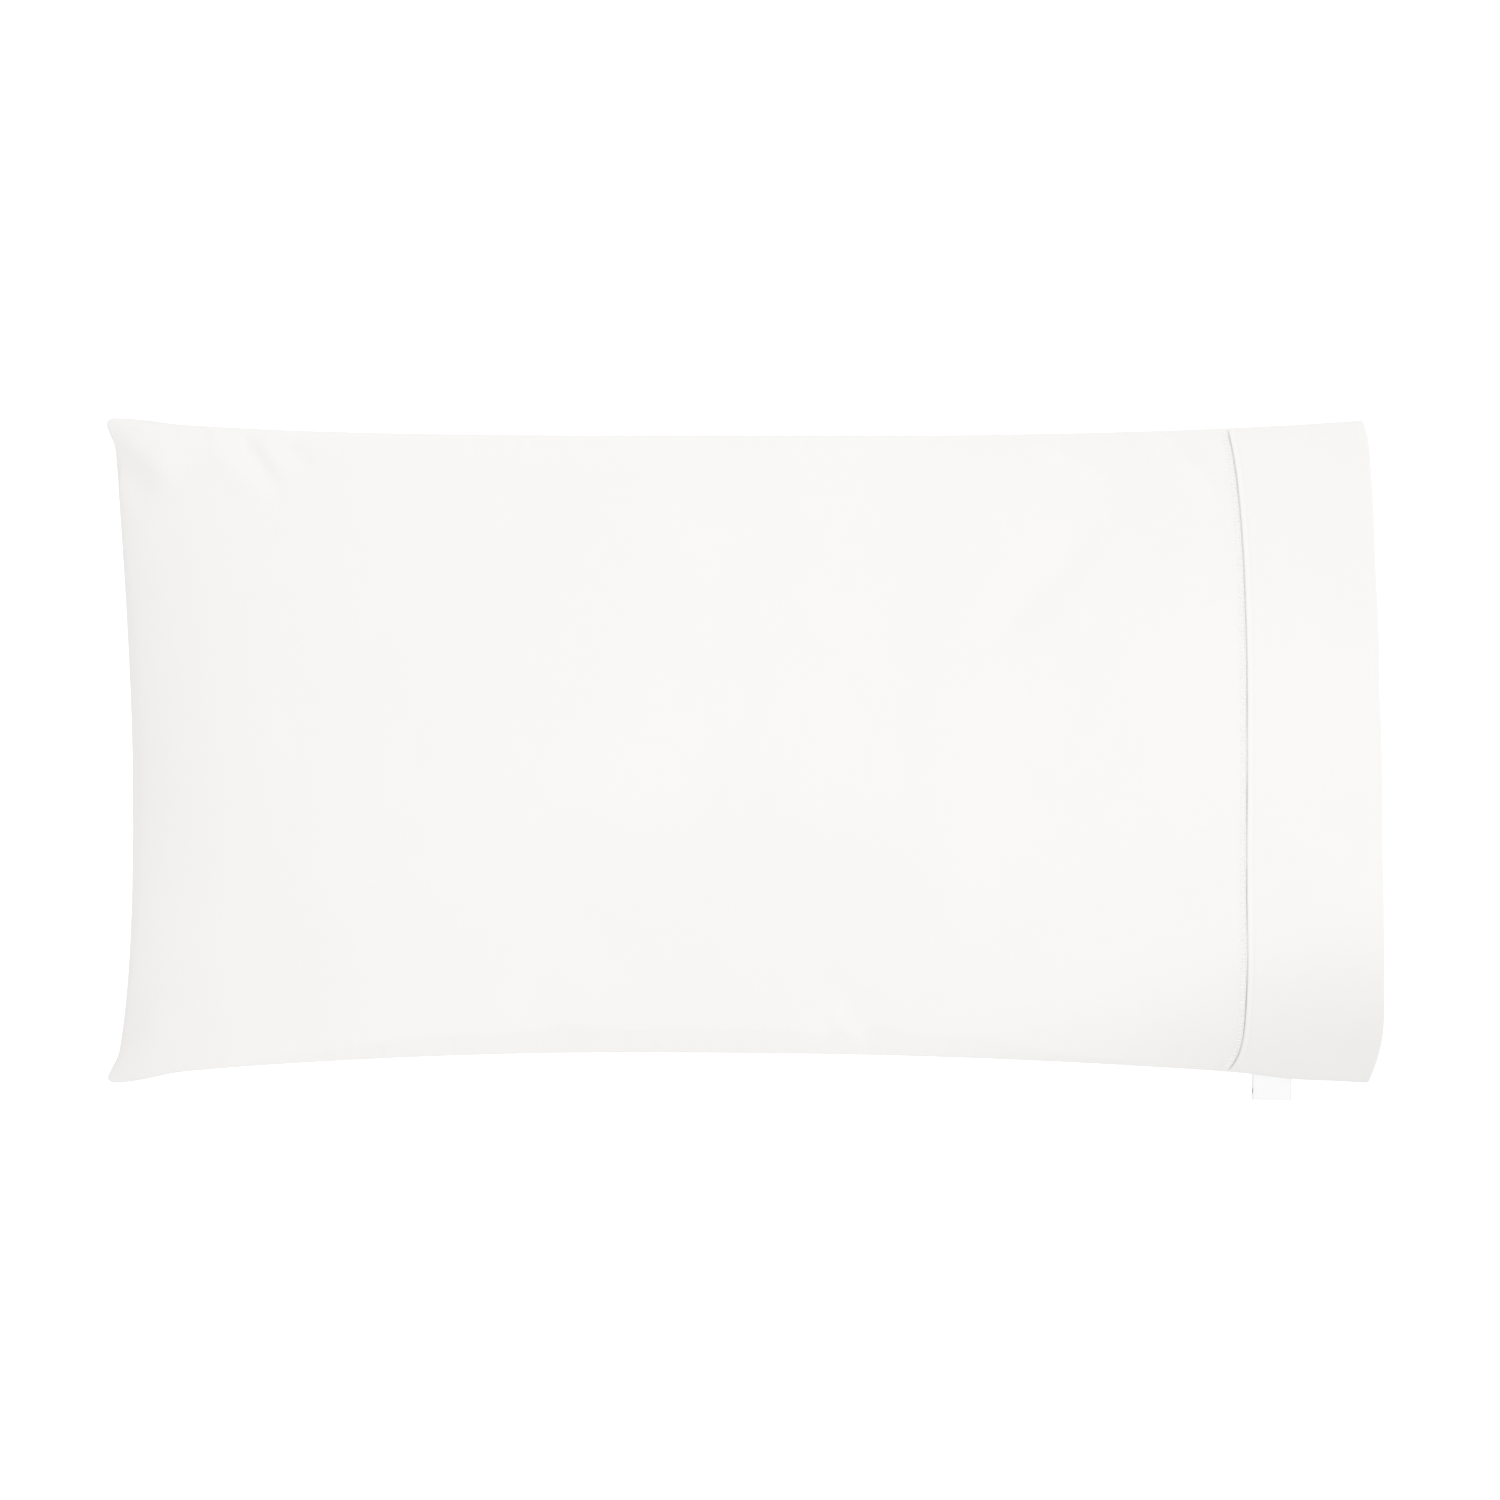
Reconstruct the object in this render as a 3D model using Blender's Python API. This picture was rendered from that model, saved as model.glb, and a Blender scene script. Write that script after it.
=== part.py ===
"""King-size pillowcase with its pillow inside, lying on its back.

The case is one length of cotton sewn into a flat bag, 508 x 1016 mm, with a 102 mm double hem
at its open end.  Filled, it draws in at the sides, its closed corners stand out as two ears, and
the hem hangs past the end of the filling as an open sleeve.  A folded ribbon label is sewn into
the side seam of the hem.

Frame: +X from the closed end to the mouth, +Y across the case, +Z up, the origin on the surface
under the middle of the bounding box, label included.  Metres.
"""

import math

import bpy
import numpy as np

# ---- plan: distances from the tips of the closed corners, half widths from the centre line ----
SIDE_LENGTH = 0.9558          # ear tip to mouth corner, along the +Y side seam
HALF_WIDTH = 0.2534           # centre line to a side seam at both ends of the case
# each side: pull at its waist, where the waist lies, fall towards both ends, trim at the mouth,
# and how far the hem's side swells out
LEFT_SIDE = (0.0144, 1.000, 3.9, 2.75, 0.0026, 0.0)
RIGHT_SIDE = (0.0250, 0.756, 1.7, 2.60, 0.0, 0.0019)
EAR_STEP = 0.0079             # how far an ear stands out past the end seam beside it
EAR_SHARE = 0.11              # share of the half width that an ear takes
END_BOW = 0.0130              # further inward bow of the end seam, deepest near its middle
HEM_CENTRE = 0.8622           # hemstitch line on the centre line
HEM_BEND = 0.0104             # how far the hemstitch line falls back at the side seams
HEM_BUMP = 0.0022             # a low swell of that line near the -Y seam
MOUTH_BOW = 0.0122            # how far the mouth edge runs out across the case, towards -Y
MOUTH_CORNER_STEP = 0.0030    # gained right beside the +Y corner
MOUTH_CORNER_ROUND = 0.0090   # lost again round the -Y corner

# ---- heights ----
SEAM_EDGE_Z = 0.0260          # side seam at the ears and at the mouth corners
SEAM_MID_Z = 0.0500           # side seam along the filled length
CROWN_RISE = 0.0985           # crown above the seam plane
CROWN_ARCH = 0.05             # share of it lost half the filled length away from its top
CROWN_TOP = 0.4500            # where it is highest
MOUTH_RISE = 0.0250           # mouth edge above the seam plane
FLOOR_REACH = 0.0680          # the back would sink this far below the seams without the floor
MOUTH_FLOOR_REACH = 0.0500    # the same at the mouth
END_RUN = 0.3600              # length over which the closed end swells to the full crown
CROWN_END = 0.6200            # the crown starts to fall here, towards the mouth
# corners that hang lower: x, eta, how much and how far in; the hem's empty one the most
SAGS = (
    (0.956, -1.0, 0.0150, 0.200),
    (0.000, -1.0, 0.0100, 0.140),
    (0.000, 1.0, 0.0070, 0.120),
)

# ---- cloth ----
SEAM_EDGE = 0.0020            # thickness of the sewn edge
HEM_WALL = 0.0022             # wall of the double hem
MOUTH_ROLL = 0.0004           # the inner layer stops this far short of the mouth edge
SEAM_ALLOWANCE = 0.0080       # sewn-together margin inside the hem's side seams
GROOVE_DEPTH = 0.0008         # hemstitch groove
GROOVE_HALF = 0.0012
FILL_DOME = 0.0400            # how far the filling's end reaches into the hem
FILL_EDGE_SHARE = 0.16        # height left at the tip of that end

# ---- label: one ribbon folded over, both ends in the seam ----
LABEL_NEAR = 0.8711           # its edge nearer the closed end
LABEL_WIDTH = 0.0303
LABEL_OUT = 0.0190            # visible length at that edge
LABEL_SKEW = 0.0016           # its fold lies this much further out at the far edge
LABEL_LAYER = 0.0010
LABEL_GAP = 0.0006            # air between the two layers
LABEL_DROOP = 0.0050
CLEARANCE = 0.00035           # between the label and the seam, taken straight out from it

# ---- resolution ----
ACROSS = 30                   # strips across the case
ALONG_BODY = 42
ALONG_HEM = 7
ALONG_DOME = 5
LABEL_ALONG = 5
LABEL_ARC = 6

# Soft folds of the upper cloth: one row each, from (x0, y0) to (x1, y1) in plan, metres from the
# ear tips and from the centre line, with a width on the right and on the left of that way.
# Troughs are positive depths, ridges negative ones.
FOLDS = (
    # x0      y0      x1      y1      right   left    depth
    (-0.002, 0.226, 0.032, 0.196, 0.0170, 0.0110, 0.0048),    # hollow under the +Y ear, its ridge
    (0.008, 0.246, 0.046, 0.211, 0.0110, 0.0200, -0.0050),
    (0.084, 0.228, 0.117, 0.192, 0.0120, 0.0060, -0.0018),    # pulls that run in from that corner
    (0.103, 0.239, 0.132, 0.198, 0.0065, 0.0065, 0.0023),
    (0.117, 0.235, 0.134, 0.213, 0.0050, 0.0050, -0.0014),
    (0.139, 0.232, 0.156, 0.213, 0.0065, 0.0065, 0.0017),
    (0.003, -0.244, 0.043, -0.204, 0.0260, 0.0150, -0.0048),  # ridge from the -Y ear
    (0.675, 0.094, 0.736, 0.154, 0.0160, 0.0160, 0.0030),     # hollow near the filling's end
    (0.350, -0.228, 0.318, -0.184, 0.0240, 0.0450, 0.0034),   # puckers that rise from the -Y seam
    (0.584, -0.226, 0.560, -0.186, 0.0180, 0.0090, 0.0028),
    (0.566, -0.228, 0.540, -0.204, 0.0060, 0.0100, 0.0014),
    (0.562, -0.200, 0.538, -0.160, 0.0100, 0.0200, 0.0012),
    (0.722, 0.226, 0.762, 0.204, 0.0110, 0.0110, 0.0024),     # puckers that fall from the +Y seam
    (0.806, 0.236, 0.845, 0.192, 0.0120, 0.0120, 0.0026),
)


def smooth(low, high, value):
    """Smooth step from 0 at low to 1 at high."""
    t = np.clip((value - low) / (high - low), 0.0, 1.0)
    return t * t * (3.0 - 2.0 * t)


def side_pull(share, side):
    """Drawn-in distance of one side seam at this share of its length; none along the ear, and
    less where the hem's side swells out beside the mouth."""
    most, bend, to_end, to_mouth, trim, swell = side
    place = 2.0 * np.clip(share, 0.0, 1.0) ** bend - 1.0
    fall = np.where(place < 0.0, to_end, to_mouth)
    drawn = most * (1.0 - np.abs(place) ** fall) * smooth(-0.01, 0.06, share)
    return trim * share + drawn - swell * np.exp(-(((share - 0.947) / 0.031) ** 2))


def across_positions():
    """Shares of the half width from -1 to 1, closer together towards the seams."""
    even = np.linspace(-1.0, 1.0, ACROSS + 1)
    return 0.45 * even + 0.55 * np.sin(0.5 * math.pi * even)


def end_seam_x(eta):
    """Closed end: ear tips at 0, a step in beside each, then a shallow bow."""
    ear = smooth(0.0, EAR_SHARE, 1.0 - np.abs(eta))
    reach = np.where(eta > -0.15, 0.98, 0.85)
    power = np.where(eta > -0.15, 1.35, 2.2)
    bow = 1.0 - np.clip(np.abs(eta + 0.15) / reach, 0.0, 1.0) ** power
    return EAR_STEP * ear + END_BOW * bow


def hemstitch_x(eta):
    """Straight in the middle, falling back slowly to the +Y seam; a low bump, then a sharp fall
    to the -Y one."""
    power = np.where(eta > 0.0, 3.6, 20.0)
    bump = HEM_BUMP * np.exp(-(((eta + 0.70) / 0.20) ** 2))
    return HEM_CENTRE - HEM_BEND * np.abs(eta) ** power + bump


def mouth_x(eta):
    """Mouth edge: it runs out steadily towards the -Y side and rounds off at that corner."""
    corner = smooth(0.0, 0.06, 1.0 - eta)
    rounded = np.clip((-eta - 0.80) / 0.20, 0.0, 1.0) ** 2
    bow = MOUTH_BOW * 0.5 * (1.0 - eta) - MOUTH_CORNER_ROUND * rounded
    return SIDE_LENGTH + MOUTH_CORNER_STEP * corner + bow


def seam_y(x, side):
    """Distance of a side seam from the centre line."""
    return HALF_WIDTH - side_pull(x / SIDE_LENGTH, side)


def plan(start_x, end_x, share, eta):
    """Plan positions of one loop, this share of the way between two curves across the case."""
    x = start_x + (end_x - start_x) * share
    left, right = seam_y(x[-1], LEFT_SIDE), seam_y(x[0], RIGHT_SIDE)
    return x, np.where(eta > 0.0, eta * left, eta * right)


def seam_plane_z(x, eta):
    """Height of the seams, carried across the case: low at its four corners."""
    filled = smooth(0.0, 0.20, x) * (1.0 - smooth(0.70, SIDE_LENGTH, x))
    level = SEAM_EDGE_Z + (SEAM_MID_Z - SEAM_EDGE_Z) * (1.0 - (1.0 - filled) * np.abs(eta) ** 2)
    for corner_x, corner_eta, sag, reach in SAGS:
        away = np.hypot(x - corner_x, (eta - corner_eta) * HALF_WIDTH)
        level = level - sag * np.clip(1.0 - away / reach, 0.0, 1.0) ** 2
    return level


def fold_depth(x, y):
    """Sum of the soft folds: a bell across each one, fading out at both of its ends."""
    depth = np.zeros_like(x)
    for x0, y0, x1, y1, right, left, deepest in FOLDS:
        length = math.hypot(x1 - x0, y1 - y0)
        ux, uy = (x1 - x0) / length, (y1 - y0) / length
        along = ((x - x0) * ux + (y - y0) * uy) / length
        off = (x - x0) * uy - (y - y0) * ux
        fade = smooth(-0.35, 0.25, along) * (1.0 - smooth(0.75, 1.35, along))
        depth += deepest * fade * np.exp(-(off / np.where(off > 0.0, right, left)) ** 2)
    return depth


def skins(x, y, eta):
    """Heights of the upper and the lower cloth over these plan positions."""
    from_end = np.clip(x - end_seam_x(eta), 0.0, None)
    swell = (1.0 - (1.0 - np.clip(from_end / END_RUN, 0.0, 1.0)) ** 2.6) ** 0.60
    fall = (np.clip(x - CROWN_END, 0.0, None) / (SIDE_LENGTH + MOUTH_BOW - CROWN_END)) ** 1.75
    full = smooth(0.0, 0.6 * END_RUN, from_end) * (1.0 - smooth(CROWN_END, 0.95, x))
    section = np.clip(1.0 - np.abs(eta) ** 2.1, 0.0, 1.0) ** (1.0 - 0.30 * full)
    base = seam_plane_z(x, eta)
    arch = 1.0 - CROWN_ARCH * ((x - CROWN_TOP) / CROWN_TOP) ** 2
    rise = (CROWN_RISE + (MOUTH_RISE - CROWN_RISE) * fall) * arch * swell * section
    reach = (FLOOR_REACH + (MOUTH_FLOOR_REACH - FLOOR_REACH) * fall) * swell * section
    slack = smooth(0.0, 0.05, section)
    upper = base + 0.5 * SEAM_EDGE + rise - fold_depth(x, y) * slack
    lower = np.maximum(base - 0.5 * SEAM_EDGE - reach, 0.0)
    return upper, lower


def loop(x, y, upper, lower):
    """One closed ring: the upper points from -Y to +Y, then the lower ones back."""
    over = np.stack((x, y, upper), axis=1)
    under = np.stack((x, y, lower), axis=1)[::-1]
    return np.concatenate((over, under))


def body_and_hem_rings():
    """Rings from the closed end to the mouth, over its edge, and back in to the filling's end."""
    eta = across_positions()
    end_x, hem_x, lip_x = end_seam_x(eta), hemstitch_x(eta), mouth_x(eta)
    rings = []
    shares = np.linspace(0.0, 1.0, ALONG_BODY + 1) ** 1.25
    length = HEM_CENTRE - end_x[ACROSS // 2]
    groove = 1.0 - np.array((GROOVE_HALF, 0.0, -GROOVE_HALF)) / length
    for share in np.concatenate((shares[:-1], groove)):
        x, y = plan(end_x, hem_x, share, eta)
        upper, lower = skins(x, y, eta)
        if share == 1.0:
            inset = GROOVE_DEPTH * smooth(0.0, 0.004, upper - lower - SEAM_EDGE)
            upper = upper - inset
            lower = np.where(lower > 0.0, lower + inset, lower)
        rings.append(loop(x, y, upper, lower))
    for share in np.linspace(0.0, 1.0, ALONG_HEM + 1)[1:]:
        x, y = plan(hem_x, lip_x, share, eta)
        rings.append(loop(x, y, *skins(x, y, eta)))
    inner = 1.0 - SEAM_ALLOWANCE / HALF_WIDTH
    for share in np.linspace(1.0, 0.0, ALONG_HEM + 1):
        x, y = plan(hem_x, lip_x, share, eta * inner)
        upper, lower = hem_cavity(x, y, eta * inner)
        rings.append(loop(x - MOUTH_ROLL * (share == 1.0), y, upper, lower))
    middle, half = 0.5 * (upper + lower), 0.5 * (upper - lower)
    for share in np.linspace(0.0, 1.0, ALONG_DOME + 1)[1:]:
        height = half * (FILL_EDGE_SHARE + (1.0 - FILL_EDGE_SHARE) * (1.0 - share) ** 0.6)
        narrowed = y * (1.0 - 0.05 * share)
        rings.append(loop(x + FILL_DOME * share, narrowed, middle + height, middle - height))
    return rings


def hem_cavity(x, y, eta):
    """Inner faces of the hem's sleeve, never closer than half a seam edge to each other."""
    upper, lower = skins(x, y, eta)
    middle = 0.5 * (upper + lower)
    least = 0.25 * SEAM_EDGE
    return np.maximum(upper - HEM_WALL, middle + least), np.minimum(lower + HEM_WALL, middle - least)


def mesh_from_rings(name, rings):
    """Quads between neighbouring rings, and a strip across the flat first and last ones."""
    count = len(rings[0])
    points = np.concatenate(rings)
    faces = []
    for ring in range(len(rings) - 1):
        for k in range(count):
            n = (k + 1) % count
            near, far = ring * count, (ring + 1) * count
            faces.append((near + k, far + k, far + n, near + n))
    last = (len(rings) - 1) * count
    for k in range(count // 2 - 1):
        mirror = count - 1 - k
        faces.append((k, k + 1, mirror - 1, mirror))
        faces.append((last + mirror, last + mirror - 1, last + k + 1, last + k))
    mesh = bpy.data.meshes.new(name)
    mesh.from_pydata(points.tolist(), [], faces)
    mesh.validate()
    mesh.shade_smooth()
    return mesh


def label_section(out):
    """Closed outline of the folded ribbon in (distance out, height), fold at its outer end."""
    half = 0.5 * LABEL_GAP + LABEL_LAYER
    inner = 0.5 * LABEL_GAP
    turn = np.linspace(0.5 * math.pi, -0.5 * math.pi, LABEL_ARC + 1)
    centre = out - half
    outer_fold = np.stack((centre + half * np.cos(turn), half * np.sin(turn)), axis=1)
    inner_fold = np.stack((centre + inner * np.cos(turn), inner * np.sin(turn)), axis=1)[::-1]
    start = np.array(((0.0, half), (0.5 * centre, half)))
    under = np.array(((0.5 * centre, -half), (0.0, -half), (0.0, -inner), (0.5 * centre, -inner)))
    back = np.array(((0.5 * centre, inner), (0.0, inner)))
    return np.concatenate((start, outer_fold, under, inner_fold, back))


def label_anchor():
    """Where the ribbon leaves the side seam, at its edge nearer the closed end."""
    seam = float(seam_y(LABEL_NEAR, RIGHT_SIDE))
    return np.array((LABEL_NEAR, -seam, float(seam_plane_z(LABEL_NEAR, -1.0))))


def label_mesh():
    """The ribbon swept along the seam, in its own frame: +X along the seam, -Y outwards.

    Its inner edge follows the seam and its fold is straight.
    """
    anchor = label_anchor()
    rings = []
    for share in np.linspace(0.0, 1.0, LABEL_ALONG + 1):
        x = LABEL_WIDTH * share
        seam = float(seam_y(anchor[0] + x, RIGHT_SIDE)) + anchor[1] + CLEARANCE
        section = label_section(CLEARANCE + LABEL_OUT + LABEL_SKEW * share - seam)
        droop = LABEL_DROOP * (section[:, 0] / LABEL_OUT) ** 1.5
        rise = float(seam_plane_z(anchor[0] + x, -1.0)) - anchor[2]
        height = rise + section[:, 1] - droop
        rings.append(np.stack((np.full(len(section), x), -seam - section[:, 0], height), axis=1))
    count = len(rings[0])
    faces = []
    for ring in range(LABEL_ALONG):
        for k in range(count):
            n = (k + 1) % count
            near, far = ring * count, (ring + 1) * count
            faces.append((near + k, near + n, far + n, far + k))
    faces.append(tuple(range(count))[::-1])
    faces.append(tuple(range(LABEL_ALONG * count, (LABEL_ALONG + 1) * count)))
    mesh = bpy.data.meshes.new("side_label")
    mesh.from_pydata(np.concatenate(rings).tolist(), [], faces)
    mesh.validate()
    return mesh


def cloth_material(name, colour, roughness):
    """Plain dielectric cloth."""
    material = bpy.data.materials.new(name)
    material.use_nodes = True
    shader = material.node_tree.nodes["Principled BSDF"]
    shader.inputs["Base Color"].default_value = (*colour, 1.0)
    shader.inputs["Roughness"].default_value = roughness
    shader.inputs["Metallic"].default_value = 0.0
    return material


def add_object(mesh, material, place):
    """Link one piece with its material, its own origin at this place."""
    mesh.materials.append(material)
    item = bpy.data.objects.new(mesh.name, mesh)
    item.location = place
    bpy.context.scene.collection.objects.link(item)


def main():
    for item in list(bpy.data.objects):
        bpy.data.objects.remove(item)
    case, label = mesh_from_rings("pillowcase", body_and_hem_rings()), label_mesh()
    case_points = np.array([vertex.co[:] for vertex in case.vertices])
    label_points = np.array([vertex.co[:] for vertex in label.vertices]) + label_anchor()
    points = np.concatenate((case_points, label_points))
    centre = 0.5 * (points.min(axis=0) + points.max(axis=0)) * (1.0, 1.0, 0.0)
    add_object(case, cloth_material("cotton_percale_white", (0.92, 0.915, 0.90), 0.85), -centre)
    ribbon = cloth_material("woven_ribbon_white", (0.93, 0.93, 0.93), 0.65)
    add_object(label, ribbon, label_anchor() - centre)


main()
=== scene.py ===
"""King-size white cotton pillowcase with its pillow inside, lying on its back.

The case is drawn in the same frame as its CAD: +X from the closed end to the mouth, +Y across,
+Z up, the origin on the surface under the middle of the box.  Metres throughout.  The cloth is
one closed surface: a grid of (x, eta) for each skin, eta running from -1 at the -Y side seam to
+1 at the +Y one, settled by a short cloth simulation and then given its sewing.
"""

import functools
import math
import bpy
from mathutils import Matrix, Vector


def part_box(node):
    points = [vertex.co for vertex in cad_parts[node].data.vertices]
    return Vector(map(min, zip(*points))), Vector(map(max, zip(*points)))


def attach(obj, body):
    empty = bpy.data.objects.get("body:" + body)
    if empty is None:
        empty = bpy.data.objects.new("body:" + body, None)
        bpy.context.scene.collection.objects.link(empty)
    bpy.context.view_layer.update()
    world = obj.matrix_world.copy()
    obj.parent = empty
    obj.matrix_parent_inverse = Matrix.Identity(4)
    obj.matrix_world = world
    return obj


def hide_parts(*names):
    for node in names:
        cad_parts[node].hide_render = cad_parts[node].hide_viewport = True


bl_info = {
    "name": "Filled Pillowcase",
    "version": (1, 0, 0),
    "blender": (4, 5, 0),
    "location": "3D View > Sidebar > Pillowcase",
    "description": "Hemstitched cotton pillowcase, filled, with its sewn details",
    "category": "Object",
}

import bpy
import numpy as np

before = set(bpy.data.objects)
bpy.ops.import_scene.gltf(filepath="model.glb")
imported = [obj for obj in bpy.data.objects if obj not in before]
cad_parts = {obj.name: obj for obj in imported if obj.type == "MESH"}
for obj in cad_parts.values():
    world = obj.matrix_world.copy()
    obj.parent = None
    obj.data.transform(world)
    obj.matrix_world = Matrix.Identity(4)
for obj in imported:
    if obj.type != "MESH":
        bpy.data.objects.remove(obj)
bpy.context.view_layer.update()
CASE_LOW, CASE_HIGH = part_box("pillowcase")
LABEL_LOW, LABEL_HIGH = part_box("side_label")

# The case's own plan: x from the tips of its closed corners, y from its centre line.
ORIGIN = np.array((CASE_LOW.x, 0.5 * (CASE_LOW.y + CASE_HIGH.y), 0.0))

# ---- the case's plan ----
SIDE_LENGTH = 0.9558          # ear tip to mouth corner, along the +Y side seam
HALF_WIDTH = 0.2530           # centre line to a side seam; the seam's lips stand out past it
# each side: pull at its waist, where the waist lies, fall towards both ends, trim at the mouth
# and how far the hem's side swells out; the settling draws both sides in by another millimetre
LEFT_SIDE = (0.0134, 1.000, 3.9, 2.75, 0.0018, 0.0)
RIGHT_SIDE = (0.0240, 0.756, 1.7, 2.60, 0.0, 0.0019)
HEM_SWELL = (0.947, 0.031)    # where along the side that swelling is, and its reach
EAR_STEP = 0.0061             # how far an ear stands out past the end seam beside it
EAR_TIP = -0.0018             # the thin worked corners reach this far past the plain solid's
EAR_SHARE = 0.0993            # share of the half width that an ear takes
EAR_ROUND = (0.0045, 0.020)   # its tip rounds off: how far along, over what share across
END_BOW = 0.0155              # further inward bow of the end seam
END_BOW_TOP = -0.09           # eta where it is deepest
END_BOW_FALL = ((1.06, 1.57), (0.91, 3.10))    # reach in eta and power, on the +Y and -Y side
HEM_CENTRE = 0.8622           # hemstitch line on the centre line
HEM_BEND = 0.0104             # how far it falls back at the side seams
HEM_BEND_FALL = (3.6, 20.0)   # powers of that fall, slow on the +Y side and sharp on the -Y one
HEM_BUMP = 0.0022             # a low swell of that line near the -Y seam
HEM_BUMP_AT = (-0.70, 0.20)   # its eta and its reach
MOUTH_BOW = 0.0122            # how far the mouth edge runs out across the case, towards -Y
MOUTH_STEP = (0.0030, 0.06)   # gained beside the +Y corner, over this step in eta
MOUTH_ROUND = (0.0100, 0.20)  # lost again round the -Y corner, over this one
MOUTH_EASE = 0.0013           # the settling draws the middle of the mouth in again by this much

# ---- heights ----
SEAM_EDGE_Z = 0.0260          # side seam at the ears and at the mouth corners
SEAM_MID_Z = 0.0500           # side seam along the filled length
SEAM_RISES, SEAM_FALLS = 0.20, 0.70    # it is up there at the first x, and sinks from the second
CROWN_RISE = 0.0985           # crown above the seam plane
CROWN_ARCH = 0.05             # share of it lost half the filled length away from its top
CROWN_TOP = 0.4500            # where it is highest
MOUTH_RISE = 0.0250           # mouth edge above the seam plane
FLOOR_REACH = 0.0680          # the back would sink this far below the seams without the floor
MOUTH_FLOOR_REACH = 0.0500    # the same at the mouth
END_RUN = 0.3600              # the closed end swells to the full crown over this length
END_SWELL = (2.6, 0.60)       # powers of that swell: how it levels off, how steeply it starts
CROWN_END = 0.6200            # the crown starts to fall here, towards the mouth
CROWN_FALL = 1.75             # power of that fall
SECTION = (2.1, 1.0, 0.70)    # power across the case, then of its fall where empty and where full
# corners that hang lower: x, eta, how much and how far in; the hem's empty one the most
SAGS = (
    (0.956, -1.0, 0.0150, 0.200),
    (0.000, -1.0, 0.0100, 0.140),
    (0.000, 1.0, 0.0070, 0.120),
)

# ---- cloth ----
SEAM_EDGE = 0.0020            # the two cloths lie this far apart where they meet in a seam
# points round a seam, a lip, the stitches and a lip: how far out, share of the gap's half height
RIM_OUT = (0.00045, 0.00030, -0.0010, 0.00030, 0.00045)
RIM_UP = (0.62, 0.27, 0.0, -0.27, -0.62)
HEM_WALL = 0.0022             # double hem
SEAM_ALLOWANCE = 0.0080       # sewn-together margin inside the hem
FILL_START = 0.0020           # the filling's end begins this far past the hemstitch line
FILL_DOME = 0.0380            # and reaches this much further into the hem
FILL_EDGE_SHARE = 0.18        # share of its height left at the tip
FILL_ROUND = (1.7, 0.62)      # powers of its rounded section
FILL_NARROWS = 0.05           # share of its width lost towards the tip

# ---- the hemstitch: distances are square to its line, counted towards the mouth ----
GROOVE_WALL = (0.60, 1.35)    # its cleft's wall, in half widths
LIP_WALL = (0.5, 2.0)         # the hem's lip rises over these, in the same measure
LIP_SETTLES = (0.0018, 0.0040)    # and sinks to half its height over these distances
DIP = (0.0043, 0.0012)        # pressed dip behind the lip: its distance and its reach
DIP_SHARE = 0.55              # of the lip's height
BAND = (-0.0072, -0.0058)     # the body's cloth rises to a raised band between these
BAND_HEIGHT = 0.0002
PULLED = (0.80, 0.15, 0.30)   # the cleft's depth: all along, gained at both ends, and in waves
PULL_WAVES = (20.6, 0.15)     # number of those waves in eta, and their shift
STITCH = (0.74, 0.00050, 0.00046)    # length as a share of its pitch, width and height
BAR = (0.0006, 0.00100, 0.00060)     # length past both stitch rows, width and height
STITCH_LIFT = 0.00002         # stitches' middles above the cloth
BAR_RISE = (0.7, 0.0002)      # up from the ladder's floor, in its depths, less up to this by chance
STITCHED = 0.988              # the rows end at this eta, short of the side seams
STITCH_SEED, BAR_SEED = 11, 41
UNEVENNESS = 0.10             # of stitches and bars, in pitches

FOLD_FADES = ((-0.35, 0.25), (0.75, 1.35))    # a fold's two ends, as shares of its length
# Listed folds: (x0, y0) to (x1, y1) in plan, width on the right and on the left of that way,
# and depth; troughs are positive.
FOLDS = (
    # x0      y0      x1      y1      right   left    depth
    (-0.002, 0.226, 0.032, 0.196, 0.0170, 0.0110, 0.0048),    # hollow under the +Y ear, its ridge
    (0.008, 0.246, 0.046, 0.211, 0.0110, 0.0200, -0.0050),
    (0.084, 0.228, 0.117, 0.192, 0.0120, 0.0060, -0.0018),    # pulls that run in from that corner
    (0.103, 0.239, 0.132, 0.198, 0.0065, 0.0065, 0.0023),
    (0.117, 0.235, 0.134, 0.213, 0.0050, 0.0050, -0.0014),
    (0.139, 0.232, 0.156, 0.213, 0.0065, 0.0065, 0.0017),
    (0.003, -0.244, 0.043, -0.204, 0.0260, 0.0150, -0.0048),  # ridge from the -Y ear
    (0.675, 0.094, 0.736, 0.154, 0.0160, 0.0160, 0.0030),     # hollow near the filling's end
    (0.350, -0.228, 0.318, -0.184, 0.0240, 0.0450, 0.0034),   # puckers that rise from the -Y seam
    (0.584, -0.226, 0.560, -0.186, 0.0180, 0.0090, 0.0028),
    (0.566, -0.228, 0.540, -0.204, 0.0060, 0.0100, 0.0014),
    (0.562, -0.200, 0.538, -0.160, 0.0100, 0.0200, 0.0012),
    (0.722, 0.226, 0.762, 0.204, 0.0110, 0.0110, 0.0024),     # puckers that fall from the +Y seam
    (0.806, 0.236, 0.845, 0.192, 0.0120, 0.0120, 0.0026),
)

# ---- gathers along the side seams: wave lengths, and how far in they reach ----
PUCKER_SHARED, PUCKER_OWN = 0.0165, 0.0121    # one that both skins share, one each of their own
PUCKER_DRIFTS = ((1.6, 0.083), (0.9, 0.0142 * math.pi))    # how much and over what they drift
PUCKER_BEAT = 0.21            # over this they come and go
PUCKER_REACH = 0.011

# ---- the label's ribbon ----
RIBBON_TUCK = 0.0030          # it runs on this far inside the seam
RIBBON_GAP = 0.0007           # air between its two layers at the fold
RIBBON_SKEW = 0.0010          # its fold lies this much further out at the edge near the mouth
RIBBON_REACH = 0.0185         # visible length over which it droops
RIBBON_DROOP = 0.0042
RIBBON_CORNER_DROOP = 0.0011
RIBBON_WAVE = 0.0004

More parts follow.
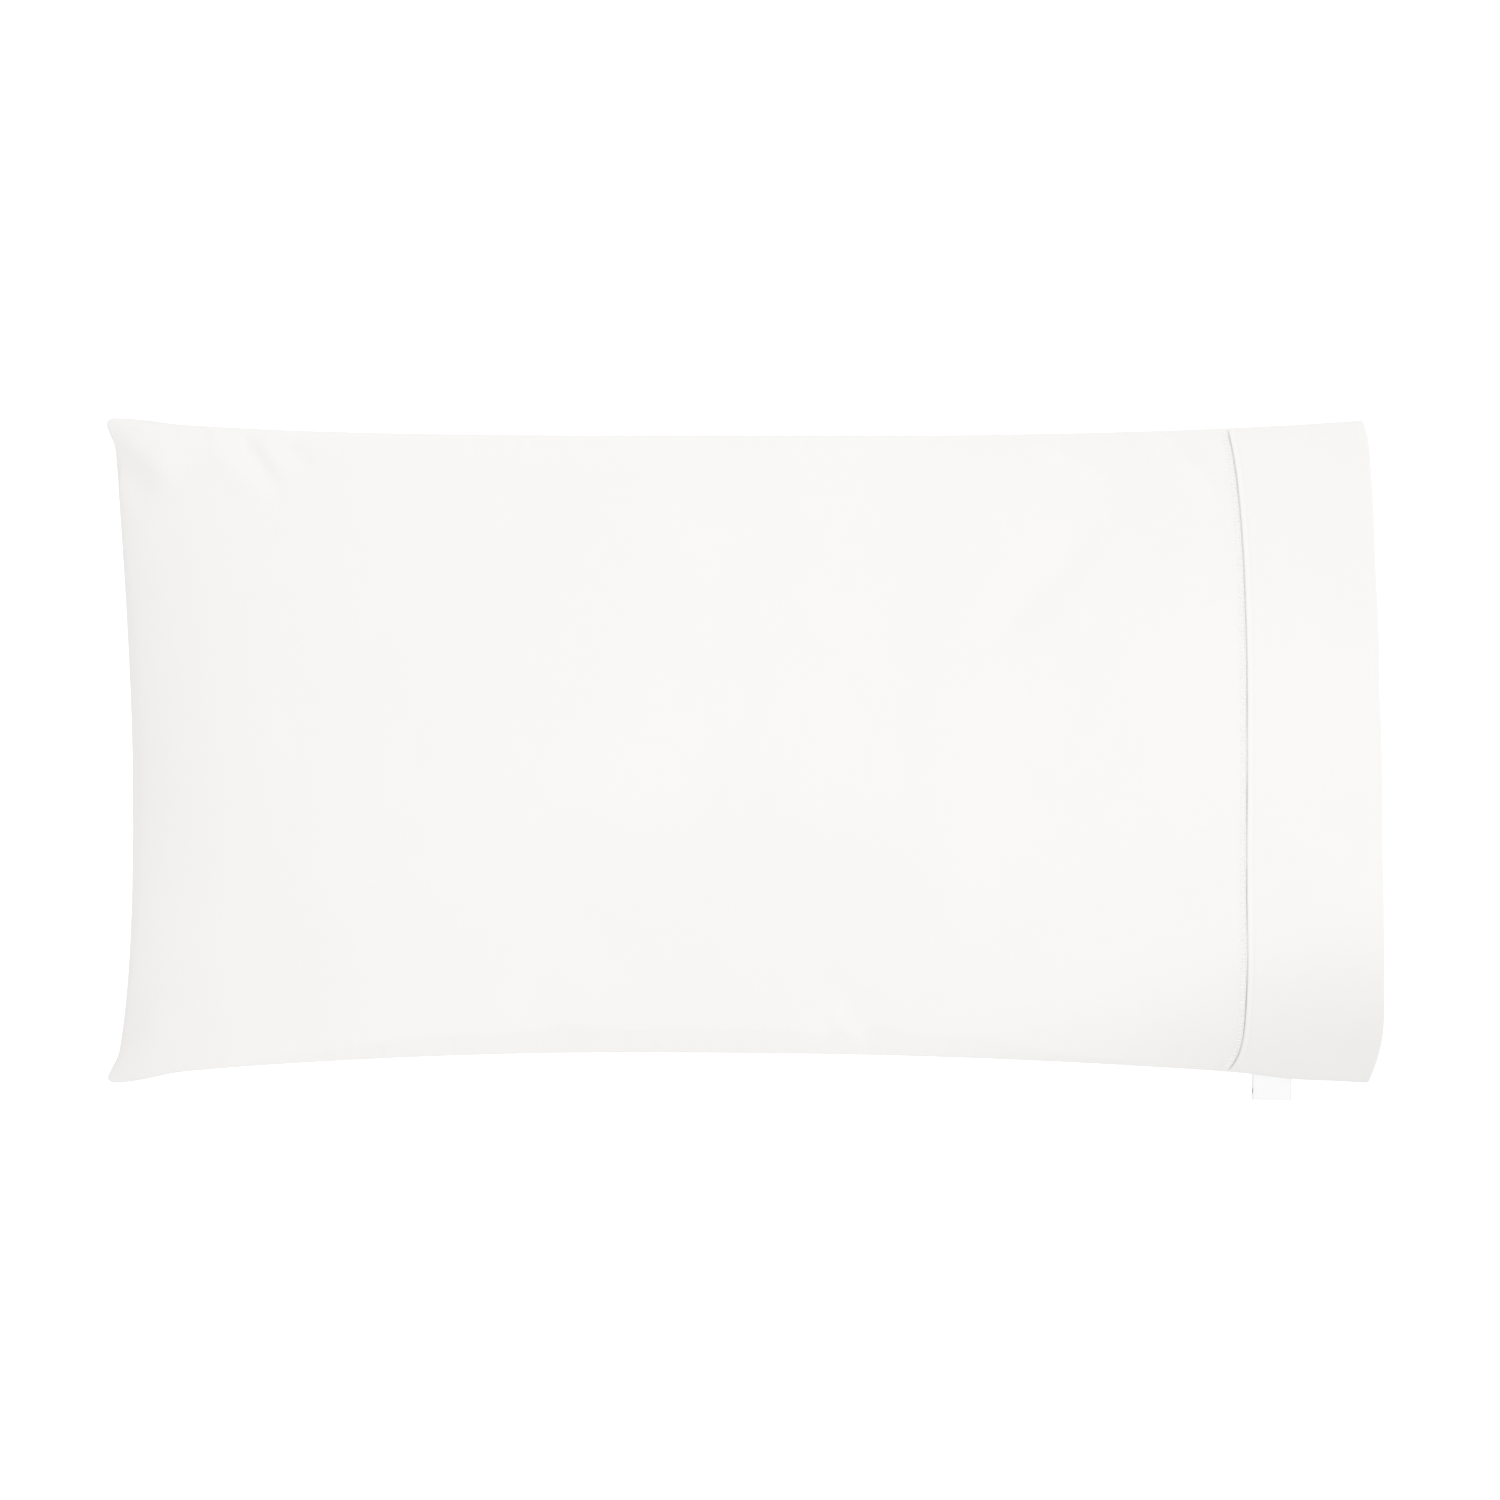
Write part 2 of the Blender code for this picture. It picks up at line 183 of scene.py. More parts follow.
# ---- stage ----
FLOOR_HALF = 30.0
FLOOR_Z = -0.0005             # just under the case, so that the two don't flicker
FLOOR_GLOW = 0.32
SKY_LEVEL = 1.169             # even brightness of the sky all round
SKY_SLOPE = (0.157, 0.008, -0.06)    # added to it towards +X, +Y and overhead
KEY_SIZE, KEY_POWER = 3.6, 10.0
KEY_PLACE = (0.8, 1.5, 5.6)
VIEW_WIDTH = 1.140            # what the camera sees across, at the level below
VIEW_LEVEL = 0.040            # the seams' height
VIEW_FROM = 6.0               # the camera's height
VIEW_MIDDLE = (0.4887, 0.0004)    # under the camera, in the case's coordinates

# ---- resolution ----
ACROSS = 112                  # strips across each skin
ALONG_BODY = 236              # columns from the closed end to the hemstitch's fine ones
ALONG_HEM = 30                # from there to the mouth
ALONG_SLEEVE = 14             # back along the hem's inner face
ALONG_DOME = 12               # over the filling's end
ROW_CROWDING = 0.58           # share of the rows' spacing that a sine crowds at the seams
BODY_CROWDING, HEM_CROWDING = 1.18, 1.3    # powers that crowd columns at the end and the mouth
RIM_POINTS = 5                # points round a side seam, between the two skins
FINE_STEPS = (
    -0.0100, -0.0086, -0.0074, -0.0065, -0.0057, -0.0051, -0.0046, -0.0043, -0.0040, -0.0036,
    -0.0030, -0.0024, -0.0019, -0.0016, -0.0013, -0.0010, -0.0007, -0.0004, -0.0002, 0.0000,
    0.0002, 0.0004, 0.0006, 0.0008, 0.0011, 0.0015, 0.0019, 0.0024, 0.0030, 0.0036, 0.0042,
    0.0048, 0.0055, 0.0064, 0.0076, 0.0090, 0.0105,
)                             # columns beside the hemstitch line, along the case

# ---- settling: the coarse cloth that is simulated ----
SIM_ACROSS = 52
SIM_BODY = 84                 # cells from the closed end to the hemstitch line
SIM_HEM = 11
SIM_FRAMES = 30
HOLD_BODY, HOLD_SEAM, HOLD_HEM = 0.12, 0.03, 0.02    # how firmly the filling holds the cloth
FLAT_LENGTH = 1.000           # the flat bag, closed end to mouth, eased a little in the sewing
FLAT_WIDTH = 0.508
CLOTH_SETTINGS = {
    "quality": 5, "mass": 0.05, "tension_stiffness": 40.0, "compression_stiffness": 40.0,
    "shear_stiffness": 10.0, "bending_stiffness": 1.0, "tension_damping": 5.0,
    "compression_damping": 5.0, "shear_damping": 5.0, "bending_damping": 0.5,
    "use_pressure": True, "uniform_pressure_force": 0.5, "vertex_group_pressure": "air",
    "vertex_group_mass": "filling", "pin_stiffness": 1.0,
}
SEAM_SLACK = (0.80, 0.97)     # eta over which the hold eases off towards a seam
HEM_SLACK = 5.0               # cells over which it eases off into the hem
MOST_SETTLING = 0.0090
OUTLINE_KEPT = 0.8            # share of the settling in plan that the side seams don't take


def smooth(low, high, value):
    """Smooth step from 0 at low to 1 at high."""
    t = np.clip((value - low) / (high - low), 0.0, 1.0)
    return t * t * (3.0 - 2.0 * t)


def wave(value, length, phase):
    """A sine wave of this length, shifted by a phase."""
    return np.sin(2.0 * math.pi * value / length + phase)


def bell(value, where):
    """A bell curve of height 1 at a middle, with this reach."""
    middle, reach = where
    return np.exp(-(((value - middle) / reach) ** 2))


def arc_length(points, axis):
    """Running length along one axis of a grid of points, 0 at its start."""
    step = np.linalg.norm(np.diff(points, axis=axis), axis=-1)
    start = [(0, 0)] * step.ndim
    start[axis] = (1, 0)
    return np.pad(np.cumsum(step, axis=axis), start)


def unit(vectors):
    """The same vectors, each with a length of 1."""
    return vectors / np.linalg.norm(vectors, axis=-1, keepdims=True)


def ring_quads(number):
    """Quads between neighbouring rings of point numbers, each ring closed on itself."""
    following = np.roll(number, -1, axis=1)
    return np.stack((number[:-1], number[1:], following[1:], following[:-1]), axis=-1)


# ------------------------------------------------------------------ the case's surface


def side_pull(share, side):
    """Drawn-in distance of one side seam at this share of its length; none along the ear, and
    less where the hem's side swells out beside the mouth."""
    most, bend, to_end, to_mouth, trim, swell = side
    place = 2.0 * np.clip(share, 0.0, 1.0) ** bend - 1.0
    fall = np.where(place < 0.0, to_end, to_mouth)
    drawn = most * (1.0 - np.abs(place) ** fall) * smooth(-0.01, 0.06, share)
    return trim * share + drawn - swell * bell(share, HEM_SWELL)


def end_seam_x(eta):
    """Closed end: rounded ear tips, a step in beside each, then a shallow bow."""
    ear = smooth(0.0, EAR_SHARE, 1.0 - np.abs(eta))
    (reach, power), (other_reach, other_power) = END_BOW_FALL
    off = eta - END_BOW_TOP
    reach, power = np.where(off > 0.0, reach, other_reach), np.where(off > 0.0, power, other_power)
    bow = 1.0 - np.clip(np.abs(off) / reach, 0.0, 1.0) ** power
    depth, share = EAR_ROUND
    past = np.clip((np.abs(eta) - 1.0 + share) / share, 0.0, 1.0)
    return EAR_TIP + EAR_STEP * ear + END_BOW * bow + depth * (1.0 - np.sqrt(1.0 - past**2))


def hemstitch_x(eta):
    """Straight in the middle, falling back slowly to the +Y seam; a low bump, then a sharp fall
    to the -Y one."""
    power = np.where(eta > 0.0, *HEM_BEND_FALL)
    return HEM_CENTRE - HEM_BEND * np.abs(eta) ** power + HEM_BUMP * bell(eta, HEM_BUMP_AT)


def mouth_x(eta):
    """Mouth edge: it runs out steadily towards the -Y side and rounds off at that corner."""
    (gained, step), (lost, reach) = MOUTH_STEP, MOUTH_ROUND
    corner = gained * smooth(0.0, step, 1.0 - eta)
    rounded = np.clip((-eta - (1.0 - reach)) / reach, 0.0, 1.0) ** 2
    bow = MOUTH_BOW * 0.5 * (1.0 - eta) - lost * rounded
    return SIDE_LENGTH + corner + bow + MOUTH_EASE * (1.0 - np.abs(eta) ** 3)


def marks(eta):
    """x of the closed end, the hemstitch line and the mouth."""
    return end_seam_x(eta), hemstitch_x(eta), mouth_x(eta)


def loop_shares(x, eta):
    """Share of the way from the closed end to the hemstitch line, and from there to the mouth."""
    start, line, mouth = marks(eta)
    return (x - start) / (line - start), (x - line) / (mouth - line)


def plan_y(x, eta):
    """eta times the half width, taken where the loop through (x, eta) meets its side seam."""
    body, hem = loop_shares(x, eta)
    widths = []
    for corner, side in ((1.0, LEFT_SIDE), (-1.0, RIGHT_SIDE)):
        start, line, mouth = marks(np.array(corner))
        seam_x = np.where(body < 1.0, start + (line - start) * body, line + (mouth - line) * hem)
        widths.append(HALF_WIDTH - side_pull(seam_x / SIDE_LENGTH, side))
    return np.where(eta > 0.0, eta * widths[0], eta * widths[1])


def seam_plane_z(x, eta):
    """Height of the seams, carried across the case: low at its four corners."""
    filled = smooth(0.0, SEAM_RISES, x) * (1.0 - smooth(SEAM_FALLS, SIDE_LENGTH, x))
    level = SEAM_EDGE_Z + (SEAM_MID_Z - SEAM_EDGE_Z) * (1.0 - (1.0 - filled) * np.abs(eta) ** 2)
    for corner_x, corner_eta, sag, reach in SAGS:
        away = np.hypot(x - corner_x, (eta - corner_eta) * HALF_WIDTH)
        level = level - sag * np.clip(1.0 - away / reach, 0.0, 1.0) ** 2
    return level


def fold_depth(x, y):
    """Sum of the listed folds: a bell across each one, fading out at both of its ends."""
    depth = np.zeros(np.broadcast(x, y).shape)
    for x0, y0, x1, y1, right, left, deepest in FOLDS:
        length = math.hypot(x1 - x0, y1 - y0)
        ux, uy = (x1 - x0) / length, (y1 - y0) / length
        along = ((x - x0) * ux + (y - y0) * uy) / length
        off = (x - x0) * uy - (y - y0) * ux
        fade = smooth(*FOLD_FADES[0], along) * (1.0 - smooth(*FOLD_FADES[1], along))
        depth += deepest * fade * np.exp(-(off / np.where(off > 0.0, right, left)) ** 2)
    return depth


def skins(x, y, eta):
    """Heights of the upper and the lower cloth over these plan positions."""
    from_end = np.clip(x - end_seam_x(eta), 0.0, None)
    levels, starts = END_SWELL
    swell = (1.0 - (1.0 - np.clip(from_end / END_RUN, 0.0, 1.0)) ** levels) ** starts
    fall = np.clip(x - CROWN_END, 0.0, None) / (SIDE_LENGTH + MOUTH_BOW - CROWN_END)
    fall = fall**CROWN_FALL
    full = smooth(0.0, 0.6 * END_RUN, from_end) * (1.0 - smooth(CROWN_END, 0.95, x))
    power, empty_power, full_power = SECTION
    section = np.clip(1.0 - np.abs(eta) ** power, 0.0, 1.0)
    section = section ** (empty_power + (full_power - empty_power) * full)
    base = seam_plane_z(x, eta)
    arch = 1.0 - CROWN_ARCH * ((x - CROWN_TOP) / CROWN_TOP) ** 2
    rise = (CROWN_RISE + (MOUTH_RISE - CROWN_RISE) * fall) * arch * swell * section
    reach = (FLOOR_REACH + (MOUTH_FLOOR_REACH - FLOOR_REACH) * fall) * swell * section
    slack = smooth(0.0, 0.05, section)
    upper = base + 0.5 * SEAM_EDGE + rise - fold_depth(x, y) * slack
    lower = np.maximum(base - 0.5 * SEAM_EDGE - reach, 0.0)
    return upper, lower


def linked(data, place=(0.0, 0.0, 0.0)):
    """A new object in the scene with this mesh, lamp or camera and its name."""
    item = bpy.data.objects.new(data.name, data)
    item.location = place
    bpy.context.scene.collection.objects.link(item)
    return item


# ------------------------------------------------------------------ settling the cloth


def coarse_grids():
    """Both skins on the simulated grid, shape (columns, rows, 3), meeting in the seams."""
    eta = np.linspace(-1.0, 1.0, SIM_ACROSS + 1)[None, :]
    body = np.linspace(0.0, 1.0, SIM_BODY + 1)[:-1, None]
    hem = np.linspace(0.0, 1.0, SIM_HEM + 1)[:, None]
    start, line, mouth = marks(eta)
    x = np.concatenate((start + (line - start) * body, line + (mouth - line) * hem))
    eta = np.broadcast_to(eta, x.shape)
    y = plan_y(x, eta)
    upper, lower = skins(x, y, eta)
    sewn = (upper - lower) < SEAM_EDGE + 1e-6
    middle = 0.5 * (upper + lower)
    upper, lower = np.where(sewn, middle, upper), np.where(sewn, middle, lower)
    return np.stack((x, y, upper), axis=-1), np.stack((x, y, lower), axis=-1), eta


def laid_flat(grid, share, height):
    """The skin as it was cut: arc lengths along and across, scaled to the flat bag."""
    along, across = arc_length(grid, 0), arc_length(grid[:, :, 1:], 1)
    x = along / along[-1] * FLAT_LENGTH
    y = (across / across[:, -1:] - 0.5) * FLAT_WIDTH * share
    return np.stack((x, y, np.full(x.shape, height)), axis=-1), across[:, -1:]


def over_and_under(upper, lower):
    """Both skins as rings: over the upper one from -Y to +Y, and back under the lower one."""
    return np.concatenate((upper, lower[:, -2:0:-1]), axis=1)


def flat_rings(upper, lower):
    """The rings as cut, each skin flat with its share of the girth, one just above the other."""
    (_, over), (_, under) = laid_flat(upper, 1.0, 0.0), laid_flat(lower, 1.0, 0.0)
    return over_and_under(
        laid_flat(upper, 2.0 * over / (over + under), 0.001)[0],
        laid_flat(lower, 2.0 * under / (over + under), -0.001)[0],
    )


def weights_of(column, place, rows, height):
    """Vertex group weights: how firmly the filling holds the cloth, and where air fills it."""
    position = np.where(place < rows, place, 2 * (rows - 1) - place) / (rows - 1) * 2.0 - 1.0
    near_seam = smooth(*SEAM_SLACK, np.abs(position))
    in_hem = np.clip((column - SIM_BODY) / HEM_SLACK, 0.0, 1.0)
    hold = HOLD_BODY * (1.0 - near_seam) + HOLD_SEAM * near_seam
    hold = hold * (1.0 - in_hem) + HOLD_HEM * in_hem
    on_floor = (place >= rows) & (height < 1e-5) & (in_hem < 0.5)
    return {"filling": np.where(on_floor, 1.0, hold), "air": 1.0 - in_hem}


def run_cloth(bag, flat, weights):
    """The bag's points after the simulation, whose rest shape is this flat one."""
    bag.shape_key_add(name="filled")
    key = bag.shape_key_add(name="flat")
    key.data.foreach_set("co", flat.ravel())
    key.value = 0.0
    for name, weight in weights.items():
        group = bag.vertex_groups.new(name=name)
        rounded = np.round(weight, 2)
        for value in np.unique(rounded[rounded > 0.0]):
            group.add(np.nonzero(rounded == value)[0].tolist(), float(value), "REPLACE")
    cloth = bag.modifiers.new("cloth", "CLOTH")
    for name, value in CLOTH_SETTINGS.items():
        setattr(cloth.settings, name, value)
    cloth.settings.rest_shape_key = key
    cloth.settings.effector_weights.gravity = 0.0
    cloth.collision_settings.use_collision = False
    cloth.point_cache.frame_start, cloth.point_cache.frame_end = 1, SIM_FRAMES + 1
    for step in range(1, SIM_FRAMES + 1):
        bpy.context.scene.frame_set(step)
    settled = bag.evaluated_get(bpy.context.evaluated_depsgraph_get()).data
    points = np.empty(len(flat) * 3, np.float32)
    settled.vertices.foreach_get("co", points)
    return points.reshape(-1, 3).astype(float)


@functools.cache
def settle():
    """Short cloth simulation of the filled case, as a displacement of the coarse rings.

    The bag starts on its filled shape, its rest shape is the flat bag, and soft pins stand for
    the filling: firm where the case lies on its back, slack in the seams and in the hem.  The
    cloth eases into small billows and pulls.  The result is (columns, ring, 3).
    """
    upper, lower, eta = coarse_grids()
    columns, rows = eta.shape
    ring = 2 * (rows - 1)
    # both skins share their points across the closed end
    number = np.arange(columns * ring).reshape(columns, ring)
    shared = np.minimum(np.arange(ring), (ring - np.arange(ring)) % ring)
    number[0] = number[0][shared]
    used, compact = np.unique(ring_quads(number).reshape(-1, 4), return_inverse=True)
    start = over_and_under(upper, lower).reshape(-1, 3)[used]
    mesh = bpy.data.meshes.new("settling_bag")
    mesh.from_pydata(start.tolist(), [], compact.reshape(-1, 4).tolist())
    mesh.update()
    bag = linked(mesh)
    flat = flat_rings(upper, lower).reshape(-1, 3)[used]
    moved = run_cloth(bag, flat, weights_of(used // ring, used % ring, rows, start[:, 2])) - start
    bpy.data.objects.remove(bag)
    bpy.data.meshes.remove(mesh)
    bpy.context.scene.frame_set(1)
    length = np.linalg.norm(moved, axis=1, keepdims=True)
    field = np.zeros((columns * ring, 3))
    field[used] = moved * np.minimum(1.0, MOST_SETTLING / np.maximum(length, 1e-9))
    field = field.reshape(columns, ring, 3)
    field[0] = field[0][shared]
    return field


def spline_weights(t):
    """The four uniform cubic B-spline weights at this fraction of a cell."""
    return (
        (1.0 - t) ** 3 / 6.0,
        (3.0 * t**3 - 6.0 * t**2 + 4.0) / 6.0,
        (-3.0 * t**3 + 3.0 * t**2 + 3.0 * t + 1.0) / 6.0,
        t**3 / 6.0,
    )


def settling(x, eta, top):
    """The settled displacement at (x, eta): a cubic B-spline over the coarse ring grid.

    Past the closed end the grid goes on under the other skin, so both skins agree in the seams.
    """
    field = settle()
    columns, ring, _ = field.shape
    mirrored = (ring - np.arange(ring)) % ring
    padded = np.concatenate(
        (field[2:0:-1][:, mirrored], field, np.repeat(field[-1:], 3, axis=0)), axis=0
    )
    body, hem = loop_shares(x, eta)
    i = np.where(body < 1.0, SIM_BODY * body, SIM_BODY + SIM_HEM * hem)
    i = np.clip(i, 0.0, columns - 1.0)
    j = (eta + 1.0) * 0.5 * SIM_ACROSS
    j = j if top else ring - j
    i0, j0 = np.floor(i).astype(int), np.floor(j).astype(int)
    wi, wj = spline_weights(i - i0), spline_weights(j - j0)
    result = np.zeros(np.broadcast(x, eta).shape + (3,))
    for a in range(4):
        for b in range(4):
            weight = (wi[a] * wj[b])[..., None]
            result += weight * padded[i0 + a + 1, (j0 + b - 1) % ring]
    result[..., :2] *= (1.0 - OUTLINE_KEPT * smooth(0.93, 1.0, np.abs(eta)))[..., None]
    return result


def puckers(x, eta, top, height):
    """Small gathers along the side seams, as a height.

    A wave whose length drifts, strongest in the seam and gone some 20 mm further in; the skins
    share one in the seam itself and have each their own beside it.
    """
    inward = (1.0 - np.abs(eta)) * HALF_WIDTH
    phase = np.where(eta > 0.0, 1.7, -1.7)
    (much, over), (less, sooner) = PUCKER_DRIFTS
    drift = much * wave(x, over, phase) + less * wave(x, sooner, 2.0 * phase)
    shared = wave(x, PUCKER_SHARED, drift)
    own = wave(x, PUCKER_OWN, 1.3 * drift + (0.6 if top else 2.4))
    strength = 0.55 + 0.45 * wave(x, PUCKER_BEAT, 3.0 * phase)
    strength = strength * np.exp(-((inward / PUCKER_REACH) ** 1.5))
    filled = smooth(0.02, 0.08, x) * (1.0 - 0.65 * smooth(0.84, 0.90, x))
    return height * strength * filled * (0.55 * shared + own * smooth(0.0, 0.004, inward))


def skin_points(x, eta, top, pucker_height):
    """One skin's points in the shared frame, for any broadcast arrays of x and eta."""
    x, eta = np.broadcast_arrays(x, eta)
    y = plan_y(x, eta)
    upper, lower = skins(x, y, eta)
    points = np.stack((x, y, upper if top else lower), axis=-1) + ORIGIN
    points += settling(x, eta, top)
    points[..., 2] += puckers(x, eta, top, pucker_height)
    points[..., 2] = np.maximum(points[..., 2], 0.0)
    return points


def skin_normals(x, eta, top, pucker_height):
    """Points with their outward unit normals, from small steps both ways."""
    step, turn = 0.0010, 0.004

    def at(some_x, some_eta):
        return skin_points(some_x, np.clip(some_eta, -1.0, 1.0), top, pucker_height)

    along, across = at(x + step, eta) - at(x - step, eta), at(x, eta + turn) - at(x, eta - turn)
    normal = unit(np.cross(along, across))
    return at(x, eta), normal if top else -normal


# ------------------------------------------------------------------ the hem's relief


def line_stretch(eta):
    """Step in x for each one square to the hemstitch line: 1 over its slope's cosine."""
    step = 0.002
    slope = (hemstitch_x(eta + step) - hemstitch_x(eta - step)) / (2.0 * step * HALF_WIDTH)
    return np.sqrt(1.0 + slope**2)


def hem_relief(x, eta, sizes):
    """Outward height of the sewing at the hemstitch line.

    A narrow cleft at the line, a lip that stands up past it and settles to the double hem's
    thickness with a pressed dip behind, and on the body's side the shallow ladder of drawn-out
    threads between its two stitch rows.
    """
    d = (x - hemstitch_x(eta)) / line_stretch(eta)
    half = 0.5 * sizes.groove_width
    groove = 1.0 - smooth(GROOVE_WALL[0] * half, GROOVE_WALL[1] * half, np.abs(d))
    lip = sizes.lip_height * smooth(LIP_WALL[0] * half, LIP_WALL[1] * half, d)
    lip *= 1.0 - 0.5 * smooth(*LIP_SETTLES, d)
    dip = DIP_SHARE * sizes.lip_height * bell(d, DIP)
    ladder = smooth(-sizes.row_outer, -sizes.row_outer + 0.0005, d)
    ladder *= 1.0 - smooth(-sizes.row_inner - 0.0003, -sizes.row_inner + 0.0002, d)
    band = BAND_HEIGHT * smooth(*BAND, d) * (1.0 - smooth(-1.6 * half, -half, d))
    band -= sizes.ladder_depth * ladder
    fade = 1.0 - smooth(0.985, 1.0, np.abs(eta))
    mouth = 1.0 - smooth(-0.012, -0.001, x - mouth_x(eta))
    # the line is pulled open unevenly: a little more at both ends and in waves on the -Y half
    number, shift = PULL_WAVES
    waves = np.cos(number * (eta + shift)) * smooth(0.45, -0.15, eta)
    plain, ends, waved = PULLED
    pulled = plain + ends * smooth(0.70, 0.93, np.abs(eta)) + waved * waves
    return ((lip - dip) * mouth + band - sizes.groove_depth * pulled * groove) * fade


# ------------------------------------------------------------------ meshes


def new_mesh(name, points, faces, materials, uv=None, slots=None):
    """A smooth mesh from points, a list of faces, one UV pair a point and one slot a face."""
    mesh = bpy.data.meshes.new(name)
    mesh.from_pydata(points.tolist(), [], faces)
    for material in materials:
        mesh.materials.append(material)
    if slots is not None:
        mesh.polygons.foreach_set("material_index", slots)
    if uv is not None:
        corners = np.empty(len(mesh.loops), np.int32)
        mesh.loops.foreach_get("vertex_index", corners)
        layer = mesh.uv_layers.new(name="cloth")
        layer.data.foreach_set("uv", uv[corners].astype(np.float32).ravel())
    mesh.shade_smooth()
    mesh.update()
    return mesh


def new_piece(mesh):
    """An object at the origin that rides on the one body."""
    piece = linked(mesh)
    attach(piece, "root")
    return piece


def row_positions():
    """eta of the rows: even in the middle, two and a half times closer beside the seams."""
    even = np.linspace(-1.0, 1.0, ACROSS + 1)
    return (1.0 - ROW_CROWDING) * even + ROW_CROWDING * np.sin(0.5 * math.pi * even)


def column_positions(eta):
    """x of every column of the outer cloth, shape (columns, rows)."""
    start, line, mouth = marks(eta)
    share = np.linspace(0.0, 1.0, ALONG_BODY + 1)[:-1, None]
    body = start + (line + FINE_STEPS[0] - start) * share**BODY_CROWDING
    fine = line + np.array(FINE_STEPS)[:, None]
    share = np.linspace(0.0, 1.0, ALONG_HEM + 1)[1:, None]
    share = 1.0 - (1.0 - share) ** HEM_CROWDING
    hem = fine[-1] + (mouth - 0.5 * HEM_WALL - fine[-1]) * share
    return np.concatenate((body, fine, hem))


def outward(edge):
    """Unit plan normals of an open boundary path, pointing away from the case's middle."""
    tangent = np.gradient(edge[:, :2], axis=0)
    return unit(np.stack((-tangent[:, 1], tangent[:, 0]), axis=1))


def rim_points(upper, lower, away):
    """Points round a sewn edge, from the upper skin to the lower one, shape (n, RIM_POINTS, 3).

    Each cloth turns over in a small lip and runs back in to the stitch line between them.
    """
    middle, half = 0.5 * (upper + lower), 0.5 * (upper - lower)
    points = middle[:, None] + half[:, None] * np.array(RIM_UP)[:, None]
    points[..., :2] += away[:, None] * np.array(RIM_OUT)[:, None]
    return points


def case_rings(sizes):
    """Outer cloth as rings (columns, ring, 3), each over the upper skin and back underneath."""
    eta = row_positions()[None, :]
    skins_out = []
    for top in (True, False):
        x = column_positions(eta)
        points, normal = skin_normals(x, eta, top, sizes.pucker_height)
        points = points + normal * hem_relief(x, eta, sizes)[..., None]
        points[..., 2] = np.maximum(points[..., 2], 0.0)
        skins_out.append(points)
    upper, lower = skins_out
    for side in (0, -1):
        lower[:, side, :2] = upper[:, side, :2]
    edge_upper = np.concatenate((upper[::-1, 0], upper[0, 1:-1], upper[:, -1]))
    edge_lower = np.concatenate((lower[::-1, 0], lower[0, 1:-1], lower[:, -1]))
    rim = rim_points(edge_upper, edge_lower, outward(0.5 * (edge_upper + edge_lower)))
    columns, rows = upper.shape[:2]
    near = rim[:columns][::-1]
    end = rim[columns - 1 : columns + rows - 1]
    far = rim[columns + rows - 2 :]
    rings = np.concatenate((upper, far, lower[:, ::-1], near[:, ::-1]), axis=1)
    return rings, end


def sleeve_cavity(x, eta):
    """Inner faces of the hem's sleeve, a wall inside each skin and never through each other."""
    x, eta = np.broadcast_arrays(x, eta)
    upper, lower = skin_points(x, eta, True, 0.0), skin_points(x, eta, False, 0.0)
    middle = 0.5 * (upper + lower)
    least = np.array((0.0, 0.0, 0.25 * SEAM_EDGE))
    inner_upper = np.maximum(upper - (0.0, 0.0, HEM_WALL), middle + least)
    inner_lower = np.minimum(lower + (0.0, 0.0, HEM_WALL), middle - least)
    inner_upper[..., :2], inner_lower[..., :2] = upper[..., :2], lower[..., :2]
    return inner_upper, inner_lower


def inner_rings(outer_last):
    """Rings over the mouth's fold, back along the hem's inner face and over the filling's end."""
    eta = row_positions()[None, :] * (1.0 - SEAM_ALLOWANCE / HALF_WIDTH)
    line = hemstitch_x(eta) + FILL_START
    share = np.linspace(1.0, 0.0, ALONG_SLEEVE + 1)[:, None]
    upper, lower = sleeve_cavity(line + (mouth_x(eta) - 0.5 * HEM_WALL - line) * share, eta)
    dome = np.linspace(0.0, 1.0, ALONG_DOME + 1)[1:, None]
    middle, half = 0.5 * (upper[-1] + lower[-1]), 0.5 * (upper[-1] - lower[-1])
    power, root = FILL_ROUND
    height = FILL_EDGE_SHARE + (1.0 - FILL_EDGE_SHARE) * (1.0 - dome**power) ** root
    centre = np.repeat(middle[None], ALONG_DOME, axis=0)
    centre[..., 0] += FILL_DOME * dome
    centre[..., 1] = ORIGIN[1] + (centre[..., 1] - ORIGIN[1]) * (1.0 - FILL_NARROWS * dome)
    upper = np.concatenate((upper, centre + half * height[..., None]))
    lower = np.concatenate((lower, centre - half * height[..., None]))
    steps = np.linspace(0.0, 1.0, RIM_POINTS + 2)[1:-1, None]
    far = upper[:, -1:] + (lower[:, -1:] - upper[:, -1:]) * steps
    near = lower[:, :1] + (upper[:, :1] - lower[:, :1]) * steps
    rings = np.concatenate((upper, far, lower[:, ::-1], near), axis=1)
    # the mouth's fold: half a circle from the outer cloth's last ring to the first one here
    turn = np.linspace(0.0, math.pi, 7)[1:-1, None, None]
    blend = 0.5 * (1.0 - np.cos(turn))
    fold = outer_last * (1.0 - blend) + rings[0] * blend
    fold[..., 0] += 0.5 * HEM_WALL * np.sin(turn[..., 0])
    return np.concatenate((fold, rings))


def ring_uv(rings):
    """UV in metres: arc length along from the closed end, and arc length round each loop."""
    round_it = arc_length(np.concatenate((rings, rings[:, :1]), axis=1), 1)
    middle = round_it[:, ACROSS // 2 : ACROSS // 2 + 1]
    return np.stack((arc_length(rings, 0), (round_it - middle)[:, :-1]), axis=-1)


